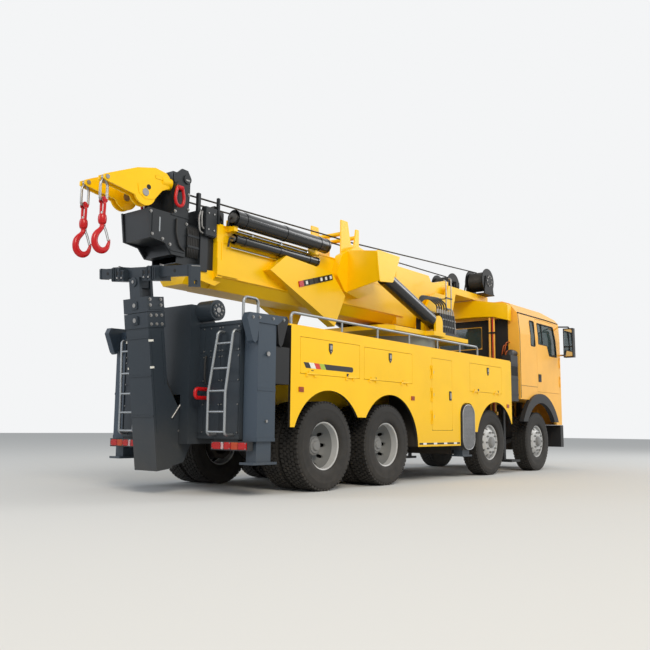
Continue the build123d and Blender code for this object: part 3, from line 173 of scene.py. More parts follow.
def painted_steel(name, colour, dusty, low, high, roughness, peel, coat):
    """Sprayed paint on steel: even colour, faint orange peel, road dust that thins out with height."""
    material = bpy.data.materials.new(name)
    tree = emptied(material)
    place = add(tree, "ShaderNodeTexCoord", {}, {})
    # Dust lies in patches of about 600 mm
    cloud = add(tree, "ShaderNodeTexNoise", {"noise_dimensions": "3D"},
                {"Vector": place.outputs["Object"], "Scale": 1.7, "Detail": 6.0, "Roughness": 0.6})
    height = add(tree, "ShaderNodeSeparateXYZ", {}, {0: place.outputs["Object"]})
    fall = add(tree, "ShaderNodeMapRange", {"interpolation_type": "SMOOTHSTEP"},
               {"Value": height.outputs["Z"], "From Min": low, "From Max": high, "To Min": 1.0,
                "To Max": 0.0})
    patch = add(tree, "ShaderNodeMapRange", {},
                {"Value": cloud.outputs["Fac"], "From Min": 0.35, "From Max": 0.75, "To Min": 0.15,
                 "To Max": 0.75})
    dust = add(tree, "ShaderNodeMath", {"operation": "MULTIPLY"}, {0: fall.outputs[0], 1: patch.outputs[0]})
    shift = add(tree, "ShaderNodeHueSaturation", {}, {"Color": linear(colour)})
    tone = add(tree, "ShaderNodeMapRange", {},
               {"Value": cloud.outputs["Fac"], "From Min": 0.3, "From Max": 0.7, "To Min": 0.95,
                "To Max": 1.05})
    tree.links.new(tone.outputs[0], shift.inputs["Value"])
    mix = add(tree, "ShaderNodeMix", {"data_type": "RGBA"},
              {0: dust.outputs[0], 6: shift.outputs[0], 7: linear(dusty)})
    gloss = add(tree, "ShaderNodeMapRange", {},
                {"Value": dust.outputs[0], "From Min": 0.0, "From Max": 1.0, "To Min": roughness,
                 "To Max": 0.85})
    # Orange peel of about 6 mm, coarser than the real 2 mm, so that it can show
    skin = add(tree, "ShaderNodeTexNoise", {"noise_dimensions": "3D"},
               {"Vector": place.outputs["Object"], "Scale": 160.0, "Detail": 2.0})
    bump = add(tree, "ShaderNodeBump", {},
               {"Strength": peel, "Distance": 0.002, "Height": skin.outputs["Fac"]})
    shader = add(tree, "ShaderNodeBsdfPrincipled", {},
                 {"Base Color": mix.outputs[2], "Roughness": gloss.outputs[0], "Specular IOR Level": 0.3,
                  "Normal": bump.outputs[0], "Coat Weight": coat, "Coat Roughness": 0.12})
    add(tree, "ShaderNodeOutputMaterial", {}, {"Surface": shader.outputs[0]})
    return material


# Black chassis paint, sprayed: satin and even, dulled to brown low down by the road
chassis_black = painted_steel("chassis_black", "#1c1d1f", "#6b6257", 0.0, 1.4, 0.5, 0.05, 0.0)
dress("chassis_frame axles powertrain knuckle_1_* knuckle_2_*", chassis_black)

# Wheels: steel-belted truck tyres with block tread on pressed steel rims painted silver grey. Each
# front wheel bulges outwards round its hub; the rear ones are twins and dish inwards to the hub.
both = (("right", -1), ("left", 1))
axle_place = {1: 3.9, 2: 1.95, 3: -1.25, 4: -2.6}
axle_height = 0.538
front_track = 1.01
rear_track = 1.055
twin_gap = 0.33
tyre_outer = 0.538
tread_blocks = 56
nut_circle = 0.1675


def mesh_of(name, part, *materials):
    """Mesh from a bmesh, which is used up."""
    mesh = bpy.data.meshes.new(name)
    part.to_mesh(mesh)
    part.free()
    for material in materials:
        mesh.materials.append(material)
    return mesh


def lathe(name, profile, steps, material, smooth_angle=35):
    """Mesh turned about the Y axis from (y, radius) points."""
    made = bmesh.new()
    rings = []
    for k in range(steps):
        turn = 2 * math.pi * k / steps
        rings.append([made.verts.new((r * math.cos(turn), y, r * math.sin(turn))) for y, r in profile])
    for k in range(steps):
        a, b = rings[k], rings[(k + 1) % steps]
        for j in range(len(profile)):
            n = (j + 1) % len(profile)
            made.faces.new((a[j], a[n], b[n], b[j]))
    bmesh.ops.recalc_face_normals(made, faces=made.faces)
    mesh = mesh_of(name, made, material)
    mesh.shade_smooth()
    mesh.set_sharp_from_angle(angle=math.radians(smooth_angle))
    return mesh


def rounded_box(size, bevel):
    """Box mesh about the origin with bevelled edges."""
    made = bmesh.new()
    bmesh.ops.create_cube(made, size=1.0)
    bmesh.ops.scale(made, vec=size, verts=made.verts)
    if bevel:
        bmesh.ops.bevel(made, geom=made.edges[:], offset=bevel, segments=2, affect="EDGES")
    return made


# Moulded tyre rubber with carbon black: nearly black and dull, with grime in patches of 110 mm;
# its grain is drawn at 4 mm, coarser than the real one, so that it can show
tyre_rubber = bpy.data.materials.new("tyre_rubber")
tree = emptied(tyre_rubber)
place = add(tree, "ShaderNodeTexCoord", {}, {})
grime = add(tree, "ShaderNodeTexNoise", {}, {"Vector": place.outputs["Object"], "Scale": 9.0, "Detail": 7.0})
height = add(tree, "ShaderNodeSeparateXYZ", {}, {0: place.outputs["Object"]})
fall = add(tree, "ShaderNodeMapRange", {},
           {"Value": height.outputs["Z"], "From Min": 0.0, "From Max": 0.9, "To Min": 0.75, "To Max": 0.2})
dust = add(tree, "ShaderNodeMath", {"operation": "MULTIPLY"}, {0: fall.outputs[0], 1: grime.outputs["Fac"]})
mix = add(tree, "ShaderNodeMix", {"data_type": "RGBA"},
          {0: dust.outputs[0], 6: linear("#171717"), 7: linear("#4b4640")})
fine = add(tree, "ShaderNodeTexNoise", {}, {"Vector": place.outputs["Object"], "Scale": 260.0})
bump = add(tree, "ShaderNodeBump", {}, {"Strength": 0.25, "Distance": 0.002, "Height": fine.outputs["Fac"]})
shader = add(tree, "ShaderNodeBsdfPrincipled", {},
             {"Base Color": mix.outputs[2], "Roughness": 0.78, "Normal": bump.outputs[0]})
add(tree, "ShaderNodeOutputMaterial", {}, {"Surface": shader.outputs[0]})

# Silver wheel paint on the front rims; on the rear dishes a duller grey that is painted shade, for the shadow
# inside the deep dish; bare worn steel on the hubs
rim_silver = painted_steel("rim_silver", "#c9cbcc", "#7d756a", -0.4, 1.3, 0.35, 0.04, 0.2)
dish_shade_grey = painted_steel("dish_shade_grey", "#7e8182", "#5d564c", -0.4, 1.3, 0.45, 0.05, 0.0)
hub_steel = painted_steel("hub_steel", "#8b8d8e", "#5b5148", -0.4, 1.3, 0.42, 0.08, 0.0)


def copying_tree(name, inputs, put_points):
    """Geometry tree that sets copies of a piece on points and gives them one material."""
    group = bpy.data.node_groups.new(name, "GeometryNodeTree")
    group.interface.new_socket("Geometry", in_out="OUTPUT", socket_type="NodeSocketGeometry")
    for label, kind in inputs + [("Piece", "NodeSocketObject"), ("Finish", "NodeSocketMaterial")]:
        group.interface.new_socket(label, in_out="INPUT", socket_type=kind)
    given = add(group, "NodeGroupInput", {}, {})
    piece = add(group, "GeometryNodeObjectInfo", {}, {"Object": given.outputs["Piece"]})
    spread = add(group, "GeometryNodeInstanceOnPoints", {},
                 {**put_points(group, given), "Instance": piece.outputs["Geometry"]})
    real = add(group, "GeometryNodeRealizeInstances", {}, {"Geometry": spread.outputs[0]})
    finish = add(group, "GeometryNodeSetMaterial", {},
                 {"Geometry": real.outputs[0], "Material": given.outputs["Finish"]})
    add(group, "NodeGroupOutput", {}, {"Geometry": finish.outputs[0]})
    return group


def circle_points(group, given):
    """Points round a circle, each with the turn that makes a copy face outwards."""
    circle = add(group, "GeometryNodeMeshCircle", {},
                 {"Vertices": given.outputs["Count"], "Radius": given.outputs["Radius"]})
    where = add(group, "GeometryNodeInputPosition", {}, {})
    facing = add(group, "FunctionNodeAlignRotationToVector", {"axis": "X"}, {"Vector": where.outputs[0]})
    return {"Points": circle.outputs["Mesh"], "Rotation": facing.outputs[0]}


def applied(made):
    """Plain mesh of an object with its modifiers applied; the object is removed."""
    bpy.context.view_layer.update()
    graph = bpy.context.evaluated_depsgraph_get()
    mesh = bpy.data.meshes.new_from_object(made.evaluated_get(graph))
    bpy.data.objects.remove(made)
    return mesh


def grown(name, group, part, values):
    """Plain mesh that a geometry tree gives for a bmesh and its other inputs."""
    seed = collection_object(name + "_part", mesh_of(name + "_part", part))
    holder = collection_object(name + "_holder", bpy.data.meshes.new(name + "_holder"))
    modifier = holder.modifiers.new("grow", "NODES")
    modifier.node_group = group
    for socket in group.interface.items_tree:
        if socket.in_out == "INPUT":
            modifier[socket.identifier] = seed if socket.name == "Piece" else values[socket.name]
    mesh = applied(holder)
    mesh.name = name
    bpy.data.objects.remove(seed)
    return mesh


ring_tree = copying_tree("round_a_circle", [("Count", "NodeSocketInt"), ("Radius", "NodeSocketFloat")],
                         circle_points)


def ring_of(name, part, count, radius, material):
    """Copies of a bmesh round the Y axis."""
    made = grown(name, ring_tree, part, {"Count": count, "Radius": radius, "Finish": material})
    made.transform(Matrix.Rotation(math.radians(-90), 4, "X"))
    return made


def merged(name, meshes):
    """One mesh from several, each with its own material kept."""
    made = bmesh.new()
    slots = []
    for mesh in meshes:
        start = len(made.faces)
        made.from_mesh(mesh)
        made.faces.ensure_lookup_table()
        for face in made.faces[start:]:
            material = mesh.materials[min(face.material_index, len(mesh.materials) - 1)]
            if material not in slots:
                slots.append(material)
            face.material_index = slots.index(material)
    return mesh_of(name, made, *slots)


# Sidewall with its bead, plain ribs and the base of the tread, as (y, radius)
side_profile = [(0.116, 0.29), (0.134, 0.3), (0.141, 0.318), (0.1435, 0.322), (0.1465, 0.36),
                (0.148, 0.4), (0.1465, 0.44), (0.1475, 0.444), (0.1465, 0.448), (0.142, 0.48),
                (0.1395, 0.492), (0.137, 0.506), (0.126, 0.516), (0.105, 0.522)]
tyre_profile = side_profile + [(-y, r) for y, r in reversed(side_profile)]
casing = lathe("casing", tyre_profile, 96, tyre_rubber, 60)
block_rows = []
for y, width, turn in ((0.108, 0.046, 0.0), (0.052, 0.044, 0.5), (0.0, 0.042, 0.0), (-0.052, 0.044, 0.5),
                       (-0.108, 0.046, 0.0)):
    block = rounded_box((0.03, 0.0455, width), 0.003)
    row = ring_of("tread_row", block, tread_blocks, tyre_outer - 0.0155, tyre_rubber)
    row.transform(Matrix.Translation((0, y, 0)) @ Matrix.Rotation(turn * 2 * math.pi / tread_blocks, 4, "Y"))
    block_rows.append(row)
tyre_mesh = merged("tyre", [casing] + block_rows)


def nut():
    """Hexagon nut with its stud, along Y once it stands on the ring."""
    made = bmesh.new()
    bmesh.ops.create_cone(made, cap_ends=True, segments=6, radius1=0.0165, radius2=0.015, depth=0.028)
    bmesh.ops.create_cone(made, cap_ends=True, segments=8, radius1=0.009, radius2=0.009, depth=0.05)
    return made


def drilled_disc(name, profile, holes, hole_circle, hole_radius, material):
    """Lathe mesh with round hand holes cut by a boolean, then made plain."""
    disc = collection_object(name, lathe(name, profile, 80, material))
    drills = bmesh.new()
    for k in range(holes):
        turn = 2 * math.pi * k / holes
        spot = Matrix.Translation((hole_circle * math.cos(turn), 0, hole_circle * math.sin(turn)))
        bmesh.ops.create_cone(drills, cap_ends=True, segments=20, radius1=hole_radius, radius2=hole_radius,
                              depth=0.6, matrix=spot @ Matrix.Rotation(math.pi / 2, 4, "X"))
    cutter = collection_object(name + "_cutter", mesh_of(name + "_cutter", drills))
    modifier = disc.modifiers.new("holes", "BOOLEAN")
    modifier.object = cutter
    modifier.solver = "EXACT"
    mesh = applied(disc)
    bpy.data.objects.remove(cutter)
    mesh.materials.clear()
    mesh.materials.append(material)
    return mesh


# Outside faces -Y here; profiles run as (y, radius), closed
barrel_profile = [(-0.1165, 0.29), (-0.1165, 0.306), (-0.11, 0.306), (-0.106, 0.289), (0.106, 0.289),
                  (0.11, 0.306), (0.1165, 0.306), (0.1165, 0.29), (0.108, 0.274), (-0.108, 0.274)]
front_disc = [(-0.06, 0.276), (-0.112, 0.214), (-0.134, 0.19), (-0.138, 0.172), (-0.138, 0.094),
              (-0.12, 0.094), (-0.12, 0.17), (-0.114, 0.186), (-0.096, 0.206), (-0.04, 0.276)]
front_hub = [(-0.186, 0.001), (-0.186, 0.06), (-0.18, 0.074), (-0.16, 0.082), (-0.158, 0.09),
             (-0.14, 0.094), (0.088, 0.094), (0.088, 0.001)]
twin_disc = [(-0.03, 0.276), (0.03, 0.262), (0.12, 0.222), (0.138, 0.196), (0.142, 0.176),
             (0.142, 0.104), (0.16, 0.104), (0.16, 0.176), (0.15, 0.202), (0.05, 0.276)]
twin_hub = [(-0.002, 0.001), (-0.002, 0.052), (0.01, 0.062), (0.016, 0.064), (0.018, 0.092),
            (0.032, 0.098), (0.04, 0.118), (0.15, 0.122), (0.15, 0.001)]
drum = [(-0.018, 0.09), (-0.018, 0.204), (0.088, 0.204), (0.088, 0.09)]
twin_drum = [(0.2, 0.15), (0.2, 0.204), (0.458, 0.204), (0.458, 0.15)]
front_nuts = ring_of("front_nuts", nut(), 10, nut_circle, hub_steel)
front_nuts.transform(Matrix.Translation((0, -0.15, 0)))
rear_nuts = ring_of("rear_nuts", nut(), 10, nut_circle, hub_steel)
rear_nuts.transform(Matrix.Translation((0, 0.13, 0)))
front_rim = merged("front_rim", [
    lathe("rim", barrel_profile, 96, rim_silver),
    drilled_disc("front_disc", front_disc, 10, 0.232, 0.026, rim_silver),
    lathe("hub", front_hub, 48, hub_steel), lathe("drum", drum, 64, chassis_black), front_nuts,
])
outer_barrel = lathe("rim", barrel_profile, 96, rim_silver)
inner_barrel = outer_barrel.copy()
inner_barrel.transform(Matrix.Translation((0, twin_gap, 0)))
rear_rim = merged("rear_rim", [
    outer_barrel, inner_barrel,
    drilled_disc("rear_disc", twin_disc, 10, 0.226, 0.024, dish_shade_grey),
    lathe("hub", twin_hub, 48, hub_steel), lathe("drum", twin_drum, 64, chassis_black), rear_nuts,
])
inner_tyre = tyre_mesh.copy()
inner_tyre.transform(Matrix.Translation((0, twin_gap, 0)))
twin_tyres = merged("twin_tyres", [tyre_mesh, inner_tyre])
for axle in (1, 2, 3, 4):
    for side, sign in both:
        track = front_track if axle < 3 else rear_track
        spot = Matrix.Translation((axle_place[axle], sign * track, axle_height))
        if sign == 1:
            spot = spot @ Matrix.Rotation(math.pi, 4, "Z")
        tyres = (tyre_mesh if axle < 3 else twin_tyres).copy()
        rim = (front_rim if axle < 3 else rear_rim).copy()
        for mesh in (tyres, rim):
            mesh.transform(spot)
        tyre = collection_object(f"tyre_{axle}_{side}", tyres)
        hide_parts(f"wheel_{axle}_{side}")
        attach(tyre, f"wheel_{axle}_{side}")
        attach(collection_object(f"rim_{axle}_{side}", rim), f"wheel_{axle}_{side}")

# Locker bodies: folded steel sheet, sprayed yellow. Each drop-down door has a pressed paddle latch
# and two hinges; small marker lamps, a reflective strip and a stripe board are fixed to the side.
body_face = 1.25
# Two-pack yellow paint, sprayed: strong, even and softly glossy, with little dust
crane_yellow = painted_steel("crane_yellow", "#ffca00", "#a88a4a", -0.2, 1.1, 0.36, 0.05, 0.08)
dress("locker_a_* locker_b_* locker_c_* locker_tall_* deck", crane_yellow)
# Painted shade, in part: body faces inside the wheel arches are chassis black for their black liners, and
# those between the rails and on the rear face are chassis black standing in for the shade there
dress("body_*", crane_yellow,
      (chassis_black, lambda x, y, z: y < 0.655 or (y < 1.243 and z < 1.33) or (y < 1.249 and x < -3.32)))


def plain(name, colour, roughness, metal=0.0, mottle=0.06, scale=14.0, coat=0.0):
    """Even finish with a slight change of tone from place to place."""
    material = bpy.data.materials.new(name)
    tree = emptied(material)
    place = add(tree, "ShaderNodeTexCoord", {}, {})
    cloud = add(tree, "ShaderNodeTexNoise", {},
                {"Vector": place.outputs["Object"], "Scale": scale, "Detail": 4.0})
    tone = add(tree, "ShaderNodeMapRange", {},
               {"Value": cloud.outputs["Fac"], "From Min": 0.3, "From Max": 0.7, "To Min": 1.0 - mottle,
                "To Max": 1.0 + mottle})
    shift = add(tree, "ShaderNodeHueSaturation", {}, {"Color": linear(colour), "Value": tone.outputs[0]})
    shader = add(tree, "ShaderNodeBsdfPrincipled", {},
                 {"Base Color": shift.outputs[0], "Roughness": roughness, "Metallic": metal,
                  "Coat Weight": coat})
    add(tree, "ShaderNodeOutputMaterial", {}, {"Surface": shader.outputs[0]})
    return material


def put_box(made, lo, hi, bevel=0.0, slot=0, turn=None):
    """Adds a box between two corners; turn is applied about its middle."""
    middle = (Vector(lo) + Vector(hi)) / 2
    spot = Matrix.Translation(middle)
    if turn:
        spot = spot @ turn
    size = Vector([abs(b - a) for a, b in zip(lo, hi)])
    part = rounded_box(size, bevel)
    part.transform(spot)
    adopt(made, part, slot)


def adopt(made, part, slot=0):
    """Moves a bmesh into another with one material slot."""
    bmesh.ops.recalc_face_normals(part, faces=part.faces)
    mesh = mesh_of("part", part)
    start = len(made.faces)
    made.from_mesh(mesh)
    made.faces.ensure_lookup_table()
    for face in made.faces[start:]:
        face.material_index = slot
    bpy.data.meshes.remove(mesh)


def put_rod(made, a, b, radius, slot=0, steps=16, far_radius=None):
    """Adds a closed cylinder or cone between two points."""
    a, b = Vector(a), Vector(b)
    run = b - a
    part = bmesh.new()
    bmesh.ops.create_cone(part, cap_ends=True, segments=steps, radius1=radius,
                          radius2=radius if far_radius is None else far_radius, depth=run.length)
    part.transform(Matrix.Translation((a + b) / 2) @ run.to_track_quat("Z", "Y").to_matrix().to_4x4())
    adopt(made, part, slot)


def put_hose(made, points, radius, slot=0, steps=10, bend=0.04):
    """Adds a tube through points with its corners rounded, closed at both ends."""
    points = [Vector(p) for p in points]
    path = [points[0]]
    for before, corner, after in zip(points, points[1:], points[2:]):
        into = (before - corner)
        away = (after - corner)
        reach = min(bend, into.length * 0.45, away.length * 0.45)
        start = corner + into.normalized() * reach
        end = corner + away.normalized() * reach
        for k in range(5):
            t = k / 4
            path.append((1 - t) ** 2 * start + 2 * t * (1 - t) * corner + t * t * end)
    path.append(points[-1])
    part = bmesh.new()
    rings = []
    side = (path[1] - path[0]).orthogonal().normalized()
    for k, spot in enumerate(path):
        ahead = (path[min(k + 1, len(path) - 1)] - path[max(k - 1, 0)]).normalized()
        side = (side - ahead * side.dot(ahead)).normalized()
        other = ahead.cross(side)
        rings.append([part.verts.new(spot + radius * (math.cos(2 * math.pi * j / steps) * side
                                                      + math.sin(2 * math.pi * j / steps) * other))
                      for j in range(steps)])
    for one, two in zip(rings, rings[1:]):
        for j in range(steps):
            n = (j + 1) % steps
            part.faces.new((one[j], one[n], two[n], two[j]))
    part.faces.new(list(reversed(rings[0])))
    part.faces.new(rings[-1])
    adopt(made, part, slot)


def put_prism(made, outline, low, high, slot=0, bevel=0.0):
    """Adds a plate with an outline in X and Z, from one Y to another."""
    part = bmesh.new()
    near = [part.verts.new((x, low, z)) for x, z in outline]
    far = [part.verts.new((x, high, z)) for x, z in outline]
    part.faces.new(near)
    part.faces.new(list(reversed(far)))
    for k in range(len(outline)):
        n = (k + 1) % len(outline)
        part.faces.new((near[k], far[k], far[n], near[n]))
    if bevel:
        bmesh.ops.bevel(part, geom=part.edges[:], offset=bevel, segments=2, affect="EDGES")
    adopt(made, part, slot)


def build_piece(name, build, materials, body, mirror=False, smooth_angle=32):
    """Object from a builder's bmesh, riding on a body; mirror turns it over to the left side."""
    made = bmesh.new()
    build(made)
    if mirror:
        bmesh.ops.scale(made, vec=(1, -1, 1), verts=made.verts)
        bmesh.ops.reverse_faces(made, faces=made.faces)
    mesh = mesh_of(name, made, *materials)
    mesh.shade_smooth()
    mesh.set_sharp_from_angle(angle=math.radians(smooth_angle))
    shown = collection_object(name, mesh)
    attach(shown, body)
    return shown


def both_sides(name, build, materials, body):
    """Builds a right-hand piece and its mirror image; a star in the body's name is the side."""
    for side, sign in both:
        build_piece(f"{name}_{side}", build, materials, body.replace("*", side), sign > 0)


# Black powder coat and zinc plate on the latches, lenses of moulded polycarbonate tinted through, and
# printed film on the boards: all small, even and smooth
latch_black = plain("latch_black", "#26221e", 0.45)
latch_zinc = plain("latch_zinc", "#a7a6a4", 0.32, metal=0.85)
lens_amber = plain("lens_amber", "#c4560a", 0.22, coat=0.1)
lens_brown = plain("lens_brown", "#7a2d08", 0.3)
lens_red = plain("lens_red", "#bf0604", 0.22, coat=0.1)
board_black = plain("board_black", "#1a1a19", 0.42)
board_white = plain("board_white", "#e9e9e2", 0.4)
board_red = plain("board_red", "#cf3422", 0.4)
board_green = plain("board_green", "#a9bf3a", 0.4)

paddle_latches = {"locker_a": (-2.587, 1.718), "locker_b": (-1.262, 1.707), "locker_c": (1.68, 1.705)}
strap_hinges = {"locker_a": (-2.939, -2.233, 1.379), "locker_b": (-1.622, -0.904, 1.37),
                "locker_c": (1.325, 2.047, 1.348)}
for door, (x, z) in paddle_latches.items():
    def latch(made, x=x, z=z):
        shield = [(x - 0.036, z + 0.062), (x + 0.036, z + 0.062), (x + 0.036, z - 0.028), (x, z - 0.074),
                  (x - 0.036, z - 0.028)]
        put_prism(made, shield, -body_face - 0.007, -body_face + 0.002, 0, 0.002)
        put_box(made, (x - 0.022, -body_face - 0.012, z - 0.012), (x + 0.022, -body_face - 0.005, z + 0.04),
                0.003, 1)
        put_rod(made, (x, -body_face - 0.01, z - 0.036), (x, -body_face - 0.002, z - 0.036), 0.009, 1)

    both_sides(door + "_latch", latch, [latch_black, latch_zinc], door + "_*")


def face_plate(made, x, z, half_x, half_z, out, sunk=0.002, bevel=0.003, slot=0):
    """Flat plate on the body's side face: middle, half sizes, how far it stands out and is sunk."""
    put_box(made, (x - half_x, -body_face - out, z - half_z), (x + half_x, -body_face + sunk, z + half_z),
            bevel, slot)


def tall_latch(made):
    """T-handle latch of the tall door with the three bolts of its lock rods."""
    face_plate(made, 0.397, 1.252, 0.036, 0.07, 0.006, bevel=0.006)
    face_plate(made, 0.397, 1.252, 0.022, 0.044, 0.013, -0.004, 0.005, 1)
    for z in (1.584, 1.254, 0.933):
        face_plate(made, -0.106, z, 0.014, 0.022, 0.005, slot=1)


both_sides("locker_tall_latch", tall_latch, [latch_black, latch_zinc], "locker_tall_*")


def side_trim(made):
    """Marker lamps with their ribs, and the reflective strip along one body side."""
    for x, z in ((-3.144, 1.195), (-0.688, 1.178), (2.417, 1.152)):
        face_plate(made, x, z, 0.046, 0.03, 0.01, bevel=0.004)
        for rib in (-0.018, 0.0, 0.018):
            face_plate(made, x, z + rib, 0.038, 0.005, 0.013, -0.006, 0.002, 1)
    cells = 12
    start, length = -0.512, 1.195
    for k in range(cells):
        low = start + length * k / cells
        put_box(made, (low, -body_face - 0.0025, 0.528), (low + length / cells, -body_face + 0.001, 0.553),
                0.0, 2 + (k % 3 == 1))


both_sides("side_trim", side_trim, [lens_amber, lens_brown, board_black, board_white], "chassis")
for door, (rear, fore_end, z) in strap_hinges.items():
    def hinges(made, rear=rear, fore_end=fore_end, z=z):
        for x in (rear, fore_end):
            face_plate(made, x, z + 0.029, 0.021, 0.023, 0.008)

    both_sides(door + "_hinges", hinges, [latch_black], door + "_*")


def stripe_board(made):
    """Generic slanted colour bars and a plain dark band on the rearmost door."""
    lean = 0.022
    for k in range(4):
        low = -3.082 + 0.097 * k
        bar = [(low + lean, 1.452), (low + 0.097 + lean, 1.452), (low + 0.097 - lean, 1.518),
               (low - lean, 1.518)]
        put_prism(made, bar, -body_face - 0.0015, -body_face + 0.001, k)
    low, high = -2.694, -2.15
    band = [(low + lean, 1.452), (high, 1.452)]
    for k in range(9):
        turn = math.radians(-90 + 180 * k / 8)
        band.append((high + 0.033 * math.cos(turn), 1.485 + 0.033 * math.sin(turn)))
    band.append((low - lean, 1.518))
    put_prism(made, band, -body_face - 0.0015, -body_face + 0.001, 0)


both_sides("stripe_board", stripe_board, [board_black, board_white, board_red, board_green], "locker_a_*")

# Front outriggers: beams and legs, closed outside by a cover of zinc-grey punched sheet with a rolled
# edge. The paints of the housing, the underlift and the legs start here too.
# Zinc-plated sheet, edge and bolts: grey metal with a soft shine; the frame's grey-blue paint is satin
punched_grey = plain("punched_grey", "#8a8b8e", 0.42, metal=0.6, mottle=0.12, scale=5.0)
zinc_frame = plain("zinc_frame", "#a5a6a8", 0.38, metal=0.7)
bolt_zinc = plain("bolt_zinc", "#9c9b99", 0.34, metal=0.85)
frame_paint = painted_steel("frame_paint", "#2d353d", "#57524a", -0.2, 1.2, 0.42, 0.06, 0.05)
cover_x = (0.742, 1.138)
cover_z = (0.438, 1.132)
cover_round = 0.165
hole_pitch = 0.02


def inside_cover(x, z, margin):
    """Whether a hole lies within the rounded outline."""
    middle = (cover_x[0] + cover_x[1]) / 2
    reach = cover_x[1] - middle - margin
    for low in (cover_z[0] + cover_round, cover_z[1] - cover_round):
        beyond = (z - low) if low > 0.8 else (low - z)
        if beyond > 0:
            over = max(abs(x - middle) - (reach + margin - cover_round), 0)
            return math.hypot(over, beyond) < cover_round - margin
    return abs(x - middle) < reach


def given_points(group, given):
    """Points of a mesh that holds nothing else."""
    points = add(group, "GeometryNodeObjectInfo", {}, {"Object": given.outputs["Points"]})
    return {"Points": points.outputs["Geometry"]}


point_tree = copying_tree("set_at_points", [("Points", "NodeSocketObject")], given_points)


def set_at(name, part, points, material):
    """Copies of a bmesh at points."""
    spots = bpy.data.meshes.new(name + "_spots")
    spots.from_pydata([tuple(p) for p in points], [], [])
    where = collection_object(name + "_spots", spots)
    made = grown(name, point_tree, part, {"Points": where, "Finish": material})
    bpy.data.objects.remove(where)
    return made


def bolts_at(name, points, axis, body, width=0.03, height=0.016):
    """Hexagon bolt heads on washers at points, standing along an axis."""
    head = bmesh.new()
    turn = Vector(axis).to_track_quat("Z", "Y").to_matrix().to_4x4()
    bmesh.ops.create_cone(head, cap_ends=True, segments=16, radius1=width * 0.72, radius2=width * 0.72,
                          depth=0.006, matrix=turn @ Matrix.Translation((0, 0, 0.001)))
    bmesh.ops.create_cone(head, cap_ends=True, segments=6, radius1=width * 0.5, radius2=width * 0.47,
                          depth=height, matrix=turn @ Matrix.Translation((0, 0, 0.003 + height / 2)))
    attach(collection_object(name, set_at(name, head, points, bolt_zinc)), body)


def bolts_both(name, points, body, width, height):
    """Bolts on the right-hand face at points, and their mirror image on the left."""
    for side, sign in both:
        bolts_at(f"{name}_{side}", [(x, -sign * y, z) for x, y, z in points], (0, sign, 0),
                 body.replace("*", side), width, height)


def upright_ring(x, y, z, radius, count):
    """Points round a circle that faces sideways."""
    turns = [2 * math.pi * k / count for k in range(count)]
    return [(x + radius * math.cos(turn), y, z + radius * math.sin(turn)) for turn in turns]


def hole_cell(side):
    """Mesh of one square of the sheet with an eight-sided hole, 3 mm deep, open towards one side."""
    part = bmesh.new()
    half = hole_pitch / 2
    ring = [(math.cos(math.radians(22.5 + 45 * k)), math.sin(math.radians(22.5 + 45 * k))) for k in range(8)]
    stretch = half / math.cos(math.radians(22.5))
    outer = [part.verts.new((a * stretch, 0, b * stretch)) for a, b in ring]
    front = [part.verts.new((a * 0.0062, 0, b * 0.0062)) for a, b in ring]
    back = [part.verts.new((a * 0.0062, -side * 0.003, b * 0.0062)) for a, b in ring]
    for k in range(8):
        n = (k + 1) % 8
        part.faces.new((outer[k], outer[n], front[n], front[k]))
        part.faces.new((front[k], front[n], back[n], back[k]))
    for k, (a, b) in zip((0, 2, 4, 6), ((half, half), (-half, half), (-half, -half), (half, -half))):
        part.faces.new((outer[k], part.verts.new((a, 0, b)), outer[k + 1]))
    bmesh.ops.recalc_face_normals(part, faces=part.faces)
    part.faces.ensure_lookup_table()
    if part.faces[0].normal.y * side < 0:
        bmesh.ops.reverse_faces(part, faces=part.faces)
    return part


for side, sign in both:
    spots = []
    for i in range(int((cover_x[1] - cover_x[0]) / hole_pitch)):
        for j in range(int((cover_z[1] - cover_z[0]) / hole_pitch)):
            x, z = cover_x[0] + (i + 0.5) * hole_pitch, cover_z[0] + (j + 0.5) * hole_pitch
            if inside_cover(x, z, 0.014):
                spots.append((x, sign * 1.2735, z))
    name = "punched_sheet_" + side
    sheet = collection_object(name, set_at(name, hole_cell(sign), spots, punched_grey))
    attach(sheet, "front_beam_" + side)


def cover_edge(made):
    """Rolled edge round the sheet."""
    edge = []
    for corner, start in (((cover_x[1] - cover_round, cover_z[0] + cover_round), -90),
                          ((cover_x[1] - cover_round, cover_z[1] - cover_round), 0),
                          ((cover_x[0] + cover_round, cover_z[1] - cover_round), 90),
                          ((cover_x[0] + cover_round, cover_z[0] + cover_round), 180)):
        for k in range(9):
            turn = math.radians(start + 90 * k / 8)
            edge.append((corner[0] + (cover_round - 0.004) * math.cos(turn), -1.274,
                         corner[1] + (cover_round - 0.004) * math.sin(turn)))
    edge.append(edge[0])
    put_hose(made, edge, 0.007, 0, 8, 0.004)


both_sides("cover_edge", cover_edge, [zinc_frame], "front_beam_*")
# Painted shade: dull dark colour on the beams behind the punched sheet stands in for the shade inside them,
# so that its holes read black
painted_hole_shade = plain("painted_hole_shade", "#3a3b3d", 0.6)
dress("front_beam_*", painted_hole_shade)
dress("rear_housing underlift_arm underlift_inner crossbar", frame_paint)
# Grey-blue paint on the legs, glossier than the frame's
leg_grey = painted_steel("leg_grey", "#3a4653", "#5a564e", -0.2, 0.8, 0.36, 0.04, 0.1)
dress("rear_leg_* front_leg_*", leg_grey)

# Deck: aluminium checker plate riveted on the box beams, with a walkway each side of the ring.
# Rolled aluminium plate: bright grey metal, broken up by raised bars that catch the light
checker_plate = bpy.data.materials.new("checker_plate")
tree = emptied(checker_plate)
place = add(tree, "ShaderNodeTexCoord", {}, {})
turned_place = add(tree, "ShaderNodeMapping", {},
                   {"Vector": place.outputs["Object"], "Rotation": (0, 0, math.radians(45))})
